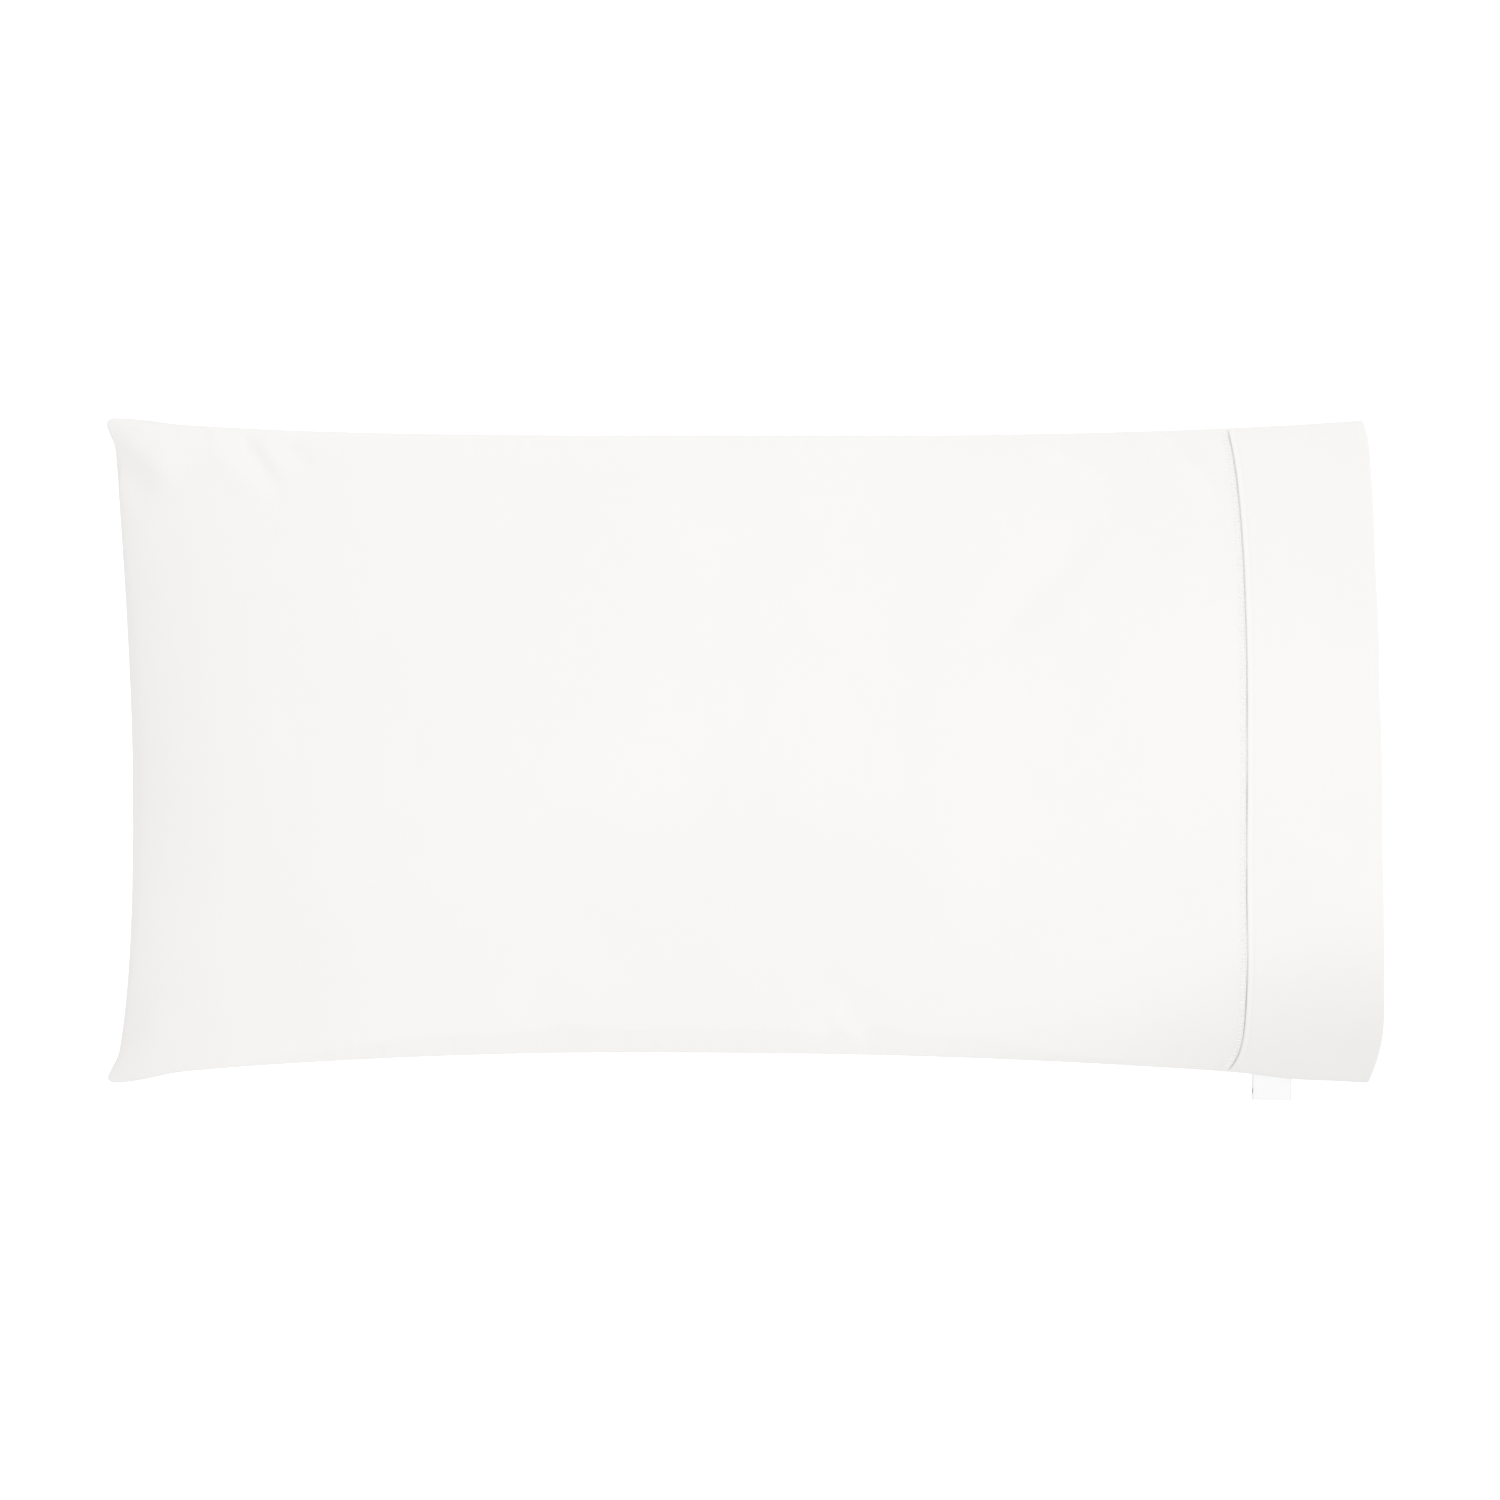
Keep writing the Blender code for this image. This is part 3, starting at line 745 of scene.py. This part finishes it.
def case_mesh(sizes, materials):
    """The whole closed cloth: outer rings, mouth fold, inner face, filling end, closed end."""
    outer, end = case_rings(sizes)
    rings = np.concatenate((outer, inner_rings(outer[-1])))
    count, ring = rings.shape[:2]
    rows = ACROSS + 1
    number = np.arange(count * ring).reshape(count, ring)
    quads = ring_quads(number)
    slots = np.zeros(quads.shape[:2], np.int32)
    slots[count - ALONG_DOME - 1 :] = 1
    # the filling's end closes with one strip between its facing rows
    upper, lower = np.arange(rows), ring - RIM_POINTS - 1 - np.arange(rows)
    last = number[-1]
    cap = np.stack((last[upper[:-1]], last[lower[:-1]], last[lower[1:]], last[upper[1:]]), axis=-1)
    # its two sides close through the rim points
    far = number[-1, rows - 1 : rows + RIM_POINTS + 1]
    near = np.concatenate((number[-1, -RIM_POINTS - 1 :], number[-1, :1]))
    # the closed end: a strip round the seam, sharing the rim points at both corners
    inside = count * ring + np.arange((rows - 2) * RIM_POINTS).reshape(rows - 2, RIM_POINTS)
    first_near = number[0, -RIM_POINTS:][::-1][None]
    first_far = number[0, rows : rows + RIM_POINTS][None]
    middle = np.concatenate((first_near, inside, first_far))
    edge_upper, edge_lower = number[0, upper][:, None], number[0, lower][:, None]
    sheet = np.concatenate((edge_upper, middle, edge_lower), axis=1)
    strip = np.stack((sheet[:-1, :-1], sheet[1:, :-1], sheet[1:, 1:], sheet[:-1, 1:]), axis=-1)
    points = np.concatenate((rings.reshape(-1, 3), end[1:-1].reshape(-1, 3)))
    uv = ring_uv(rings)
    seam_uv = np.repeat(uv[0, 1 : rows - 1], RIM_POINTS, axis=0)
    uv = np.concatenate((uv.reshape(-1, 2), seam_uv))
    faces = np.concatenate((quads.reshape(-1, 4), strip.reshape(-1, 4), cap)).tolist()
    faces += [far.tolist(), near.tolist()]
    in_cloth = np.zeros(strip.shape[0] * strip.shape[1], np.int32)
    in_filling = np.ones(len(cap) + 2, np.int32)
    slots = np.concatenate((slots.ravel(), in_cloth, in_filling))
    return new_mesh("pillowcase_cloth", points, faces, materials, uv, slots)


# ------------------------------------------------------------------ sewing


def capsule(length, width, height, rings, sides):
    """A stitch: circles whose radius follows an ellipse, blunt at both ends.

    Returns points in (along, across, up), quads between the circles and one face at each end.
    """
    t = np.linspace(-1.0, 1.0, rings)[:, None]
    radius = np.sqrt(np.clip(1.0 - 0.94 * t**2, 0.0, 1.0))
    angle = np.linspace(0.0, 2.0 * math.pi, sides, endpoint=False)[None, :]
    points = np.stack(
        (
            np.broadcast_to(0.5 * length * t, (rings, sides)),
            0.5 * width * radius * np.cos(angle),
            0.5 * height * radius * np.sin(angle),
        ),
        axis=-1,
    )
    number = np.arange(rings * sides).reshape(rings, sides)
    quads = ring_quads(number)[..., [0, 3, 2, 1]].reshape(-1, 4)
    caps = [number[0].tolist(), number[-1][::-1].tolist()]
    return points.reshape(-1, 3), quads, caps


def repeat_shape(shape, places, along, across, up):
    """Copies of one small shape carried to every place, in that place's three directions."""
    points, quads, caps = shape
    moved = (
        places[:, None]
        + along[:, None] * points[None, :, :1]
        + across[:, None] * points[None, :, 1:2]
        + up[:, None] * points[None, :, 2:]
    )
    shift = (np.arange(len(places)) * len(points))[:, None, None]
    all_quads = (quads[None] + shift).reshape(-1, 4).tolist()
    all_caps = [face for cap in caps for face in (np.array(cap)[None] + shift[:, 0]).tolist()]
    return moved.reshape(-1, 3), all_quads + all_caps


def join_shapes(parts):
    """One list of points and faces from several."""
    points, faces, start = [], [], 0
    for some_points, some_faces in parts:
        points.append(some_points)
        faces += [[corner + start for corner in face] for face in some_faces]
        start += len(some_points)
    return np.concatenate(points), faces


def along_hem(offset, pitch, top, sizes, seed):
    """Evenly spaced places along the hemstitch line at this distance beside it.

    The line is sampled finely, its arc length worked out and places taken a pitch apart with a
    small seeded unevenness.  Gives places on the sewn surface with along, across and up vectors.
    """
    fine = np.linspace(-STITCHED, STITCHED, 1201)

    def on_cloth(eta):
        x = hemstitch_x(eta) + offset * line_stretch(eta)
        points, normal = skin_normals(x, eta, top, sizes.pucker_height)
        return points + normal * hem_relief(x, eta, sizes)[..., None], normal

    line, _ = on_cloth(fine)
    run = arc_length(line, 0)
    random = np.random.default_rng(seed)
    count = int(run[-1] / pitch)
    uneven = UNEVENNESS * random.standard_normal(count)
    wanted = (np.arange(count) + 0.5 + uneven) * run[-1] / count
    eta = np.interp(wanted, run, fine)
    places, normal = on_cloth(eta)
    tangent = unit(on_cloth(eta + 0.002)[0] - on_cloth(eta - 0.002)[0])
    return places, tangent, unit(np.cross(tangent, normal)), normal, random


def hemstitch_mesh(sizes, material):
    """Bars of gathered threads across the ladder and the two rows of stitches at its edges."""
    parts = []
    middle = -0.5 * (sizes.row_inner + sizes.row_outer)
    stitch = capsule(STITCH[0] * sizes.stitch_pitch, *STITCH[1:], 5, 5)
    bar = capsule(sizes.row_outer - sizes.row_inner + BAR[0], *BAR[1:], 7, 6)
    for skin, top in enumerate((True, False)):
        for row, offset in enumerate((-sizes.row_inner, -sizes.row_outer)):
            places, tangent, side, normal, _ = along_hem(
                offset, sizes.stitch_pitch, top, sizes, STITCH_SEED + 7 * skin + row
            )
            places = places + STITCH_LIFT * normal
            parts.append(repeat_shape(stitch, places, tangent, side, normal))
        places, tangent, side, normal, random = along_hem(
            middle, sizes.bar_pitch, top, sizes, BAR_SEED + skin
        )
        most, chance = BAR_RISE
        rise = most * sizes.ladder_depth - chance * random.random((len(places), 1))
        parts.append(repeat_shape(bar, places + rise * normal, side, tangent, normal))
    points, faces = join_shapes(parts)
    points[:, 2] = np.maximum(points[:, 2], 0.0)
    return new_mesh("hemstitch_threads", points, faces, [material])


# ------------------------------------------------------------------ label


def ribbon_mesh(sizes, material, width):
    """The folded ribbon: a profile in (out, up) carried along the seam.

    The path runs out along the upper layer, round a half circle and back along the lower one.
    Both layers droop by nearly the square of the distance out, the fold's corners a little more,
    and they lie closer together beside the seam than at the fold.
    """
    a = np.linspace(0.0, 1.0, 33)[:, None]
    x = LABEL_LOW.x - ORIGIN[0] + width * a
    eta = np.full(x.shape, -1.0)
    upper = skin_points(x, eta, True, sizes.pucker_height)
    lower = skin_points(x, eta, False, sizes.pucker_height)
    seam = 0.5 * (upper + lower)
    fold_y = LABEL_LOW.y + RIBBON_SKEW * (1.0 - a)
    radius = 0.5 * (RIBBON_GAP + sizes.ribbon_thickness)
    straight = seam[..., 1] - fold_y - radius
    turn = np.linspace(0.5 * math.pi, -0.5 * math.pi, 12)[1:-1]
    run = -RIBBON_TUCK + (straight + RIBBON_TUCK) * np.linspace(0.0, 1.0, 22)
    level = np.full(run.shape, radius)
    bend = straight + radius * np.cos(turn)
    out = np.concatenate((run, bend, run[:, ::-1]), axis=1)
    bent = np.broadcast_to(radius * np.sin(turn), bend.shape)
    up = np.concatenate((level, bent, -level), axis=1)
    share = np.clip(out / RIBBON_REACH, 0.0, 1.2)
    edge = np.abs(2.0 * a - 1.0)
    droop = RIBBON_DROOP * share**1.8 + RIBBON_CORNER_DROOP * edge**3 * share**2
    ripple = RIBBON_WAVE * np.sin(2.0 * math.pi * (a * 0.9 + 0.1)) * share
    z = seam[..., 2] + up * (0.55 + 0.45 * smooth(0.0, 0.25, share)) - droop + ripple
    y = seam[..., 1] - out
    points = np.stack((np.broadcast_to(x + ORIGIN[0], y.shape), y, z), axis=-1)
    number = np.arange(y.size).reshape(y.shape)
    quads = np.stack((number[:-1, :-1], number[:-1, 1:], number[1:, 1:], number[1:, :-1]), axis=-1)
    along = arc_length(points, 1)
    uv = np.stack((np.broadcast_to(width * a, along.shape), along), axis=-1).reshape(-1, 2)
    faces = quads.reshape(-1, 4).tolist()
    mesh = new_mesh("side_label_ribbon", points.reshape(-1, 3), faces, [material], uv)
    return mesh, float(along[:, -1].mean())


# ------------------------------------------------------------------ materials


def linear(colour):
    """An sRGB hex colour as linear red, green, blue and 1."""
    value = int(colour.lstrip("#"), 16)
    parts = ((value >> 16 & 255) / 255.0, (value >> 8 & 255) / 255.0, (value & 255) / 255.0)
    curve = [c / 12.92 if c <= 0.04045 else ((c + 0.055) / 1.055) ** 2.4 for c in parts]
    return (*curve, 1.0)


def add_node(tree, kind, values=None, links=None, **settings):
    """Add a node: settings are its own attributes, values go on sockets, links come in."""
    node = tree.nodes.new(kind)
    for name, value in settings.items():
        setattr(node, name, value)
    for socket, value in (values or {}).items():
        node.inputs[socket].default_value = value
    for socket, source in (links or {}).items():
        tree.links.new(source, node.inputs[socket])
    return node


def new_material(name):
    """A material and its node tree, empty but for the output."""
    material = bpy.data.materials.new(name)
    material.use_nodes = True
    tree = material.node_tree
    tree.nodes.clear()
    tree.nodes.new("ShaderNodeOutputMaterial")
    return material, tree


def principled(material, colour, normal, **values):
    """Finish a material: this colour and normal, and the shader's other values by name."""
    tree = material.node_tree
    values = {name.replace("_", " "): value for name, value in values.items()}
    links = {"Base Color": colour} if normal is None else {"Base Color": colour, "Normal": normal}
    shader = add_node(tree, "ShaderNodeBsdfPrincipled", values, links)
    tree.links.new(shader.outputs[0], tree.nodes["Material Output"].inputs["Surface"])
    return material


def noise(tree, place, scale, detail, **values):
    """A soft random value about 0.5, this many lumps a metre."""
    values = {"Scale": scale, "Detail": detail, **values}
    return add_node(tree, "ShaderNodeTexNoise", values, {"Vector": place}).outputs["Fac"]


def lines(tree, place, pitch, direction="X", distortion=0.0):
    """Sine bands this far apart: a Wave texture's period is pi/10 over its scale."""
    values = {"Scale": math.pi / 10.0 / pitch, "Distortion": distortion}
    return add_node(
        tree, "ShaderNodeTexWave", values, {"Vector": place}, wave_type="BANDS",
        bands_direction=direction, wave_profile="SIN",
    ).outputs["Fac"]


def product(tree, first, second, kind="ShaderNodeMath"):
    """Two outputs multiplied, as numbers or, with the vector node, as colours."""
    return add_node(tree, kind, None, {0: first, 1: second}, operation="MULTIPLY").outputs[0]


def two_tones(tree, factor, colour, dark, low=0.0, high=1.0):
    """The colour, each part of it times its dark share where the factor is low."""
    ramp = add_node(tree, "ShaderNodeValToRGB", None, {"Fac": factor})
    darker, plain = ramp.color_ramp.elements
    darker.position, plain.position = low, high
    darker.color = (*(part * share for part, share in zip(colour, dark)), 1.0)
    plain.color = (*colour[:3], 1.0)
    return ramp.outputs["Color"]


def fading(tree, value, start, end, at_start, at_end, curve="SMOOTHSTEP"):
    """A factor carried from one level to another while the value runs from start to end."""
    values = {"From Min": start, "From Max": end, "To Min": at_start, "To Max": at_end}
    return add_node(
        tree, "ShaderNodeMapRange", values, {"Value": value}, interpolation_type=curve
    ).outputs[0]


def corner_painted_shade(tree, place, corner, squeeze, reach, least):
    """A corner's painted shade, a greyer colour: this least factor at the corner and 1 past its
    reach, which is longer along the case where x is squeezed."""
    scale = np.array((squeeze, 1.0, 1.0))
    squeezed = add_node(
        tree, "ShaderNodeVectorMath", {1: tuple(scale)}, {0: place}, operation="MULTIPLY"
    )
    away = add_node(
        tree, "ShaderNodeVectorMath", {1: tuple(scale * (ORIGIN + np.array(corner)))},
        {0: squeezed.outputs["Vector"]}, operation="DISTANCE",
    )
    return fading(tree, away.outputs["Value"], 0.010, reach, least, 1.0)


def bump(tree, height, strength, distance, under=None):
    """The normal bent by a height, over the normal of a coarser bump if there is one."""
    links = {"Height": height} if under is None else {"Height": height, "Normal": under}
    values = {"Strength": strength, "Distance": distance}
    return add_node(tree, "ShaderNodeBump", values, links).outputs["Normal"]


def percale_cotton(colour):
    """Bleached cotton percale, plain woven and pressed: matt, slightly fuzzy at a glance.

    Real threads lie 0.2 mm apart; they are drawn 0.5 mm apart to show in a close view.  Slubs
    and a soft handle-worn unevenness keep the white from being one flat tone.
    """
    material, tree = new_material("cotton_percale_woven_bleached")
    cloth = add_node(tree, "ShaderNodeUVMap", uv_map="cloth").outputs[0]
    place = add_node(tree, "ShaderNodeTexCoord").outputs["Object"]
    stretched = add_node(
        tree, "ShaderNodeMapping", {"Scale": (60.0, 1400.0, 1.0)}, {"Vector": cloth}
    )
    tinted = two_tones(
        tree, noise(tree, place, 5.0, 3.0), colour, (0.988, 0.986, 0.982), 0.30, 0.70
    )
    # painted shade: the closed end's edge and its -Y ear, the hem and most of all the hem's hanging
    # corner are painted greyer, for the shade of cloth that lets light through with no filling
    # behind it
    along = add_node(tree, "ShaderNodeSeparateXYZ", None, {"Vector": place}).outputs["X"]
    painted_shades = (
        corner_painted_shade(tree, place, (SIDE_LENGTH, -HALF_WIDTH, 0.02), 0.4, 0.160, 0.912),
        corner_painted_shade(tree, place, (0.0, -HALF_WIDTH, 0.02), 1.0, 0.150, 0.966),
        fading(tree, along, ORIGIN[0] + 0.010, ORIGIN[0] + 0.110, 0.979, 1.0),
        fading(tree, along, ORIGIN[0] + 0.60, ORIGIN[0] + 0.90, 1.0, 0.98),
    )
    for painted_shade in painted_shades:
        tinted = product(tree, tinted, painted_shade, "ShaderNodeVectorMath")
    # crumples, then slubs along the threads, then the weave
    weave = product(tree, lines(tree, cloth, 0.0005), lines(tree, cloth, 0.0005, "Y"))
    normal = bump(tree, noise(tree, place, 26.0, 3.0, Roughness=0.45), 0.25, 0.0016)
    normal = bump(tree, noise(tree, stretched.outputs[0], 1.0, 2.0), 0.35, 0.00008, normal)
    normal = bump(tree, weave, 0.5, 0.00006, normal)
    return principled(
        material, tinted, normal, Roughness=0.86, IOR=1.53, Specular_IOR_Level=0.25,
        Sheen_Weight=0.10, Sheen_Roughness=0.45,
    )


def ticking_cotton(colour):
    """Down-proof cotton ticking, twill woven: a closer, duller white than the case."""
    material, tree = new_material("cotton_ticking_twill_woven")
    cloth = add_node(tree, "ShaderNodeUVMap", uv_map="cloth").outputs[0]
    turned = add_node(
        tree, "ShaderNodeMapping", {"Rotation": (0.0, 0.0, math.radians(45.0))}, {"Vector": cloth}
    )
    # twill lines drawn 0.9 mm apart, three times the real ones
    rib = lines(tree, turned.outputs[0], 0.0009, distortion=0.3)
    return principled(
        material, two_tones(tree, rib, colour, (0.95, 0.945, 0.93)), bump(tree, rib, 0.4, 0.0001),
        Roughness=0.82, IOR=1.53, Specular_IOR_Level=0.25, Sheen_Weight=0.05,
    )


def sewing_thread(colour):
    """Mercerised cotton thread, spun and twisted: rounder and a touch glossier than the cloth."""
    material, tree = new_material("cotton_thread_mercerised_twisted")
    place = add_node(tree, "ShaderNodeTexCoord").outputs["Object"]
    # ply lines drawn 0.25 mm apart, twice the real ones
    ply = lines(tree, place, 0.00025, "DIAGONAL")
    return principled(
        material, two_tones(tree, ply, colour, (0.95, 0.95, 0.945)),
        bump(tree, ply, 0.5, 0.00003),
        Roughness=0.55, IOR=1.53, Specular_IOR_Level=0.4, Sheen_Weight=0.08,
    )


def satin_ribbon(colour, width):
    """Polyester label ribbon, satin woven: cool white, low sheen, fine ribs across, greyer beside
    both long edges, and a painted shadow, a dark grey strip on the edge away from the mouth."""
    material, tree = new_material("polyester_ribbon_satin_woven")
    cloth = add_node(tree, "ShaderNodeUVMap", uv_map="cloth").outputs[0]
    parts = add_node(tree, "ShaderNodeSeparateXYZ", None, {"Vector": cloth})
    satin = two_tones(tree, noise(tree, cloth, 90.0, 2.0), colour, (0.97, 0.97, 0.97))
    # greyer over about 1 mm beside both long edges, darkest at the edge
    share = add_node(
        tree, "ShaderNodeMath", {1: 1.0 / width}, {0: parts.outputs["X"]}, operation="MULTIPLY"
    )
    edges = add_node(tree, "ShaderNodeValToRGB", None, {"Fac": share.outputs[0]})
    first, last = edges.color_ramp.elements
    first.position, last.position = 0.0, 1.0
    first.color = last.color = (0.93, 0.93, 0.94, 1.0)
    for position, level in ((0.030, 0.94), (0.040, 1.0), (0.960, 1.0), (0.970, 0.94)):
        edges.color_ramp.elements.new(position).color = (level, level, level, 1.0)
    edge_greyed = product(tree, satin, edges.outputs["Color"], "ShaderNodeVectorMath")
    # painted shadow: a dark grey strip 0.8 mm wide on the first long edge, near the fold, for the
    # shade in the open side between the ribbon's two layers
    beside = fading(tree, parts.outputs["X"], 0.0007, 0.0009, 1.0, 0.0, "LINEAR")
    begins = fading(tree, parts.outputs["Y"], 0.0130, 0.0162, 0.0, 1.0, "LINEAR")
    ends = fading(tree, parts.outputs["Y"], 0.0166, 0.0198, 1.0, 0.0, "LINEAR")
    painted_gap_shadow = product(tree, beside, product(tree, begins, ends))
    ribbon_with_painted_shadow = add_node(
        tree, "ShaderNodeMix", {7: linear("#8A8988")}, {0: painted_gap_shadow, 6: edge_greyed}, data_type="RGBA"
    )
    # ribs drawn 0.45 and 0.3 mm apart, twice the real ones
    ribs = product(tree, lines(tree, cloth, 0.00045), lines(tree, cloth, 0.0003, "Y"))
    return principled(
        material, ribbon_with_painted_shadow.outputs[2], bump(tree, ribs, 0.5, 0.00005),
        Roughness=0.5, IOR=1.55, Specular_IOR_Level=0.4, Sheen_Weight=0.1,
    )


def floor_paper(colour, glow):
    """Matt white sweep paper, lit a little from below so that it stays clean round the case."""
    material, tree = new_material("studio_paper_matt")
    place = add_node(tree, "ShaderNodeTexCoord").outputs["Object"]
    paper = two_tones(tree, noise(tree, place, 3.0, 2.0), colour, (0.99, 0.99, 0.99))
    return principled(
        material, paper, None, Roughness=0.95, Specular_IOR_Level=0.1,
        Emission_Color=(1.0, 1.0, 1.0, 1.0), Emission_Strength=glow,
    )


# ------------------------------------------------------------------ settings


def length_property(name, description, default, least, most):
    """A length setting in metres."""
    return bpy.props.FloatProperty(
        name=name, description=description, default=default, min=least, max=most, precision=5,
        subtype="DISTANCE", unit="LENGTH",
    )


class PillowcaseSizes(bpy.types.PropertyGroup):
    """Sizes of the sewn details."""

    pucker_height: length_property(
        "Pucker height", "Height of the small gathers along the side seams", 0.0006, 0.0, 0.003
    )
    groove_width: length_property(
        "Hemstitch width", "Width of the open line where threads were drawn out",
        0.0009, 0.0005, 0.004,
    )
    groove_depth: length_property("Hemstitch depth", "Depth of that line", 0.0015, 0.0, 0.005)
    ladder_depth: length_property(
        "Ladder depth", "Depth of the drawn-out threads' ladder beside the line",
        0.0003, 0.0, 0.002,
    )
    lip_height: length_property(
        "Hem lip", "How far the double hem stands up beside the line", 0.0005, 0.0, 0.003
    )
    bar_pitch: length_property(
        "Bar pitch", "Distance between the gathered bars of the hemstitch", 0.0032, 0.001, 0.01
    )
    stitch_pitch: length_property(
        "Stitch pitch", "Length of one stitch with its gap", 0.0032, 0.001, 0.01
    )
    row_inner: length_property(
        "Near stitch row", "First stitch row's distance from the line", 0.0012, 0.0005, 0.01
    )
    row_outer: length_property(
        "Far stitch row", "Second stitch row's distance from the line", 0.0047, 0.002, 0.02
    )
    ribbon_thickness: length_property(
        "Ribbon thickness", "Thickness of the label's ribbon", 0.0005, 0.0002, 0.002
    )


def colour_property(name, description, colour):
    """A colour setting whose default is an sRGB hex value."""
    return bpy.props.FloatVectorProperty(
        name=name, description=description, size=4, subtype="COLOR", min=0.0, max=1.0,
        default=linear(colour),
    )


class PillowcaseColours(bpy.types.PropertyGroup):
    """Colours of the cloths, the thread and the floor."""

    cotton: colour_property("Case", "Colour of the case's cotton", "#EBEAE9")
    ticking: colour_property("Filling", "Colour of the filling's cover", "#DEDAD3")
    thread: colour_property("Thread", "Colour of the stitches", "#F0F0EF")
    ribbon: colour_property("Label", "Colour of the label's ribbon", "#ECECED")
    floor: colour_property("Floor", "Colour of the studio floor", "#F7F7F7")


# ------------------------------------------------------------------ operators


class PILLOWCASE_OT_case(bpy.types.Operator):
    """Make the filled cotton case with its hem"""

    bl_idname = "pillowcase.case"
    bl_label = "Case"

    def execute(self, context):
        sizes, colours = context.scene.pillowcase_sizes, context.scene.pillowcase_colours
        materials = [percale_cotton(colours.cotton), ticking_cotton(colours.ticking)]
        case = new_piece(case_mesh(sizes, materials))
        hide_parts("pillowcase")
        return {"FINISHED"}


class PILLOWCASE_OT_hemstitch(bpy.types.Operator):
    """Sew the hemstitch bars and the stitch rows beside them"""

    bl_idname = "pillowcase.hemstitch"
    bl_label = "Hemstitch"

    def execute(self, context):
        sizes, colours = context.scene.pillowcase_sizes, context.scene.pillowcase_colours
        threads = new_piece(hemstitch_mesh(sizes, sewing_thread(colours.thread)))
        return {"FINISHED"}


class PILLOWCASE_OT_label(bpy.types.Operator):
    """Make the blank folded ribbon in the hem's side seam"""

    bl_idname = "pillowcase.label"
    bl_label = "Label"

    def execute(self, context):
        sizes, colours = context.scene.pillowcase_sizes, context.scene.pillowcase_colours
        width = LABEL_HIGH.x - LABEL_LOW.x
        mesh, length = ribbon_mesh(sizes, satin_ribbon(colours.ribbon, width), width)
        label = new_piece(mesh)
        wall = label.modifiers.new("ribbon", "SOLIDIFY")
        wall.thickness = sizes.ribbon_thickness
        wall.offset = 0.0
        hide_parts("side_label")
        return {"FINISHED"}


class PILLOWCASE_OT_stage(bpy.types.Operator):
    """Lay the floor, set the lights and put the camera straight above"""

    bl_idname = "pillowcase.stage"
    bl_label = "Stage"

    def execute(self, context):
        scene = context.scene
        colours = scene.pillowcase_colours
        corners = FLOOR_HALF * np.array(((-1, -1, 0), (1, -1, 0), (1, 1, 0), (-1, 1, 0)))
        paper = floor_paper(colours.floor, FLOOR_GLOW)
        mesh = new_mesh("studio_floor", corners, [(0, 1, 2, 3)], [paper])
        floor = linked(mesh, (0.0, 0.0, FLOOR_Z))
        # the sky's lower half lights the case from below instead of the bright floor
        floor.visible_diffuse = False
        world = bpy.data.worlds.new("studio_sky")
        world.use_nodes = True
        tree = world.node_tree
        direction = add_node(tree, "ShaderNodeTexCoord").outputs["Generated"]
        slope = add_node(
            tree, "ShaderNodeVectorMath", {1: SKY_SLOPE}, {0: direction}, operation="DOT_PRODUCT"
        )
        level = add_node(
            tree, "ShaderNodeMath", {1: SKY_LEVEL}, {0: slope.outputs["Value"]}, operation="ADD"
        )
        sky = tree.nodes["Background"]
        sky.inputs["Color"].default_value = linear("#FFFFFF")
        tree.links.new(level.outputs[0], sky.inputs["Strength"])
        scene.world = world
        key = bpy.data.lights.new("key_softbox", "AREA")
        key.shape, key.size, key.energy = "DISK", KEY_SIZE, KEY_POWER
        lamp = linked(key, KEY_PLACE)
        aim = -lamp.location.normalized()
        lamp.rotation_euler = aim.to_track_quat("-Z", "Y").to_euler()
        camera = bpy.data.cameras.new("camera")
        camera.sensor_width = 36.0
        camera.lens = camera.sensor_width * (VIEW_FROM - VIEW_LEVEL) / VIEW_WIDTH
        camera.clip_start, camera.clip_end = 0.1, 100.0
        scene.camera = linked(camera, (*(ORIGIN[:2] + np.array(VIEW_MIDDLE)), VIEW_FROM))
        scene.view_settings.view_transform = "Standard"
        scene.view_settings.look = "None"
        return {"FINISHED"}


class PILLOWCASE_PT_panel(bpy.types.Panel):
    """Sizes, colours and the pieces to make"""

    bl_idname = "PILLOWCASE_PT_panel"
    bl_label = "Filled Pillowcase"
    bl_space_type = "VIEW_3D"
    bl_region_type = "UI"
    bl_category = "Pillowcase"

    def draw(self, context):
        layout = self.layout
        for group in (context.scene.pillowcase_sizes, context.scene.pillowcase_colours):
            column = layout.column(align=True)
            for name in group.bl_rna.properties.keys():
                if name not in {"rna_type", "name"}:
                    column.prop(group, name)
        for kind in OPERATORS:
            layout.operator(kind.bl_idname)


OPERATORS = (
    PILLOWCASE_OT_case,
    PILLOWCASE_OT_hemstitch,
    PILLOWCASE_OT_label,
    PILLOWCASE_OT_stage,
)
CLASSES = (PillowcaseSizes, PillowcaseColours, *OPERATORS, PILLOWCASE_PT_panel)


def register():
    for kind in CLASSES:
        bpy.utils.register_class(kind)
    bpy.types.Scene.pillowcase_sizes = bpy.props.PointerProperty(type=PillowcaseSizes)
    bpy.types.Scene.pillowcase_colours = bpy.props.PointerProperty(type=PillowcaseColours)


def unregister():
    del bpy.types.Scene.pillowcase_colours
    del bpy.types.Scene.pillowcase_sizes
    for kind in reversed(CLASSES):
        bpy.utils.unregister_class(kind)


def main():
    """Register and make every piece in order."""
    register()
    bpy.ops.pillowcase.case()
    bpy.ops.pillowcase.hemstitch()
    bpy.ops.pillowcase.label()
    bpy.ops.pillowcase.stage()


if __name__ == "__main__":
    main()
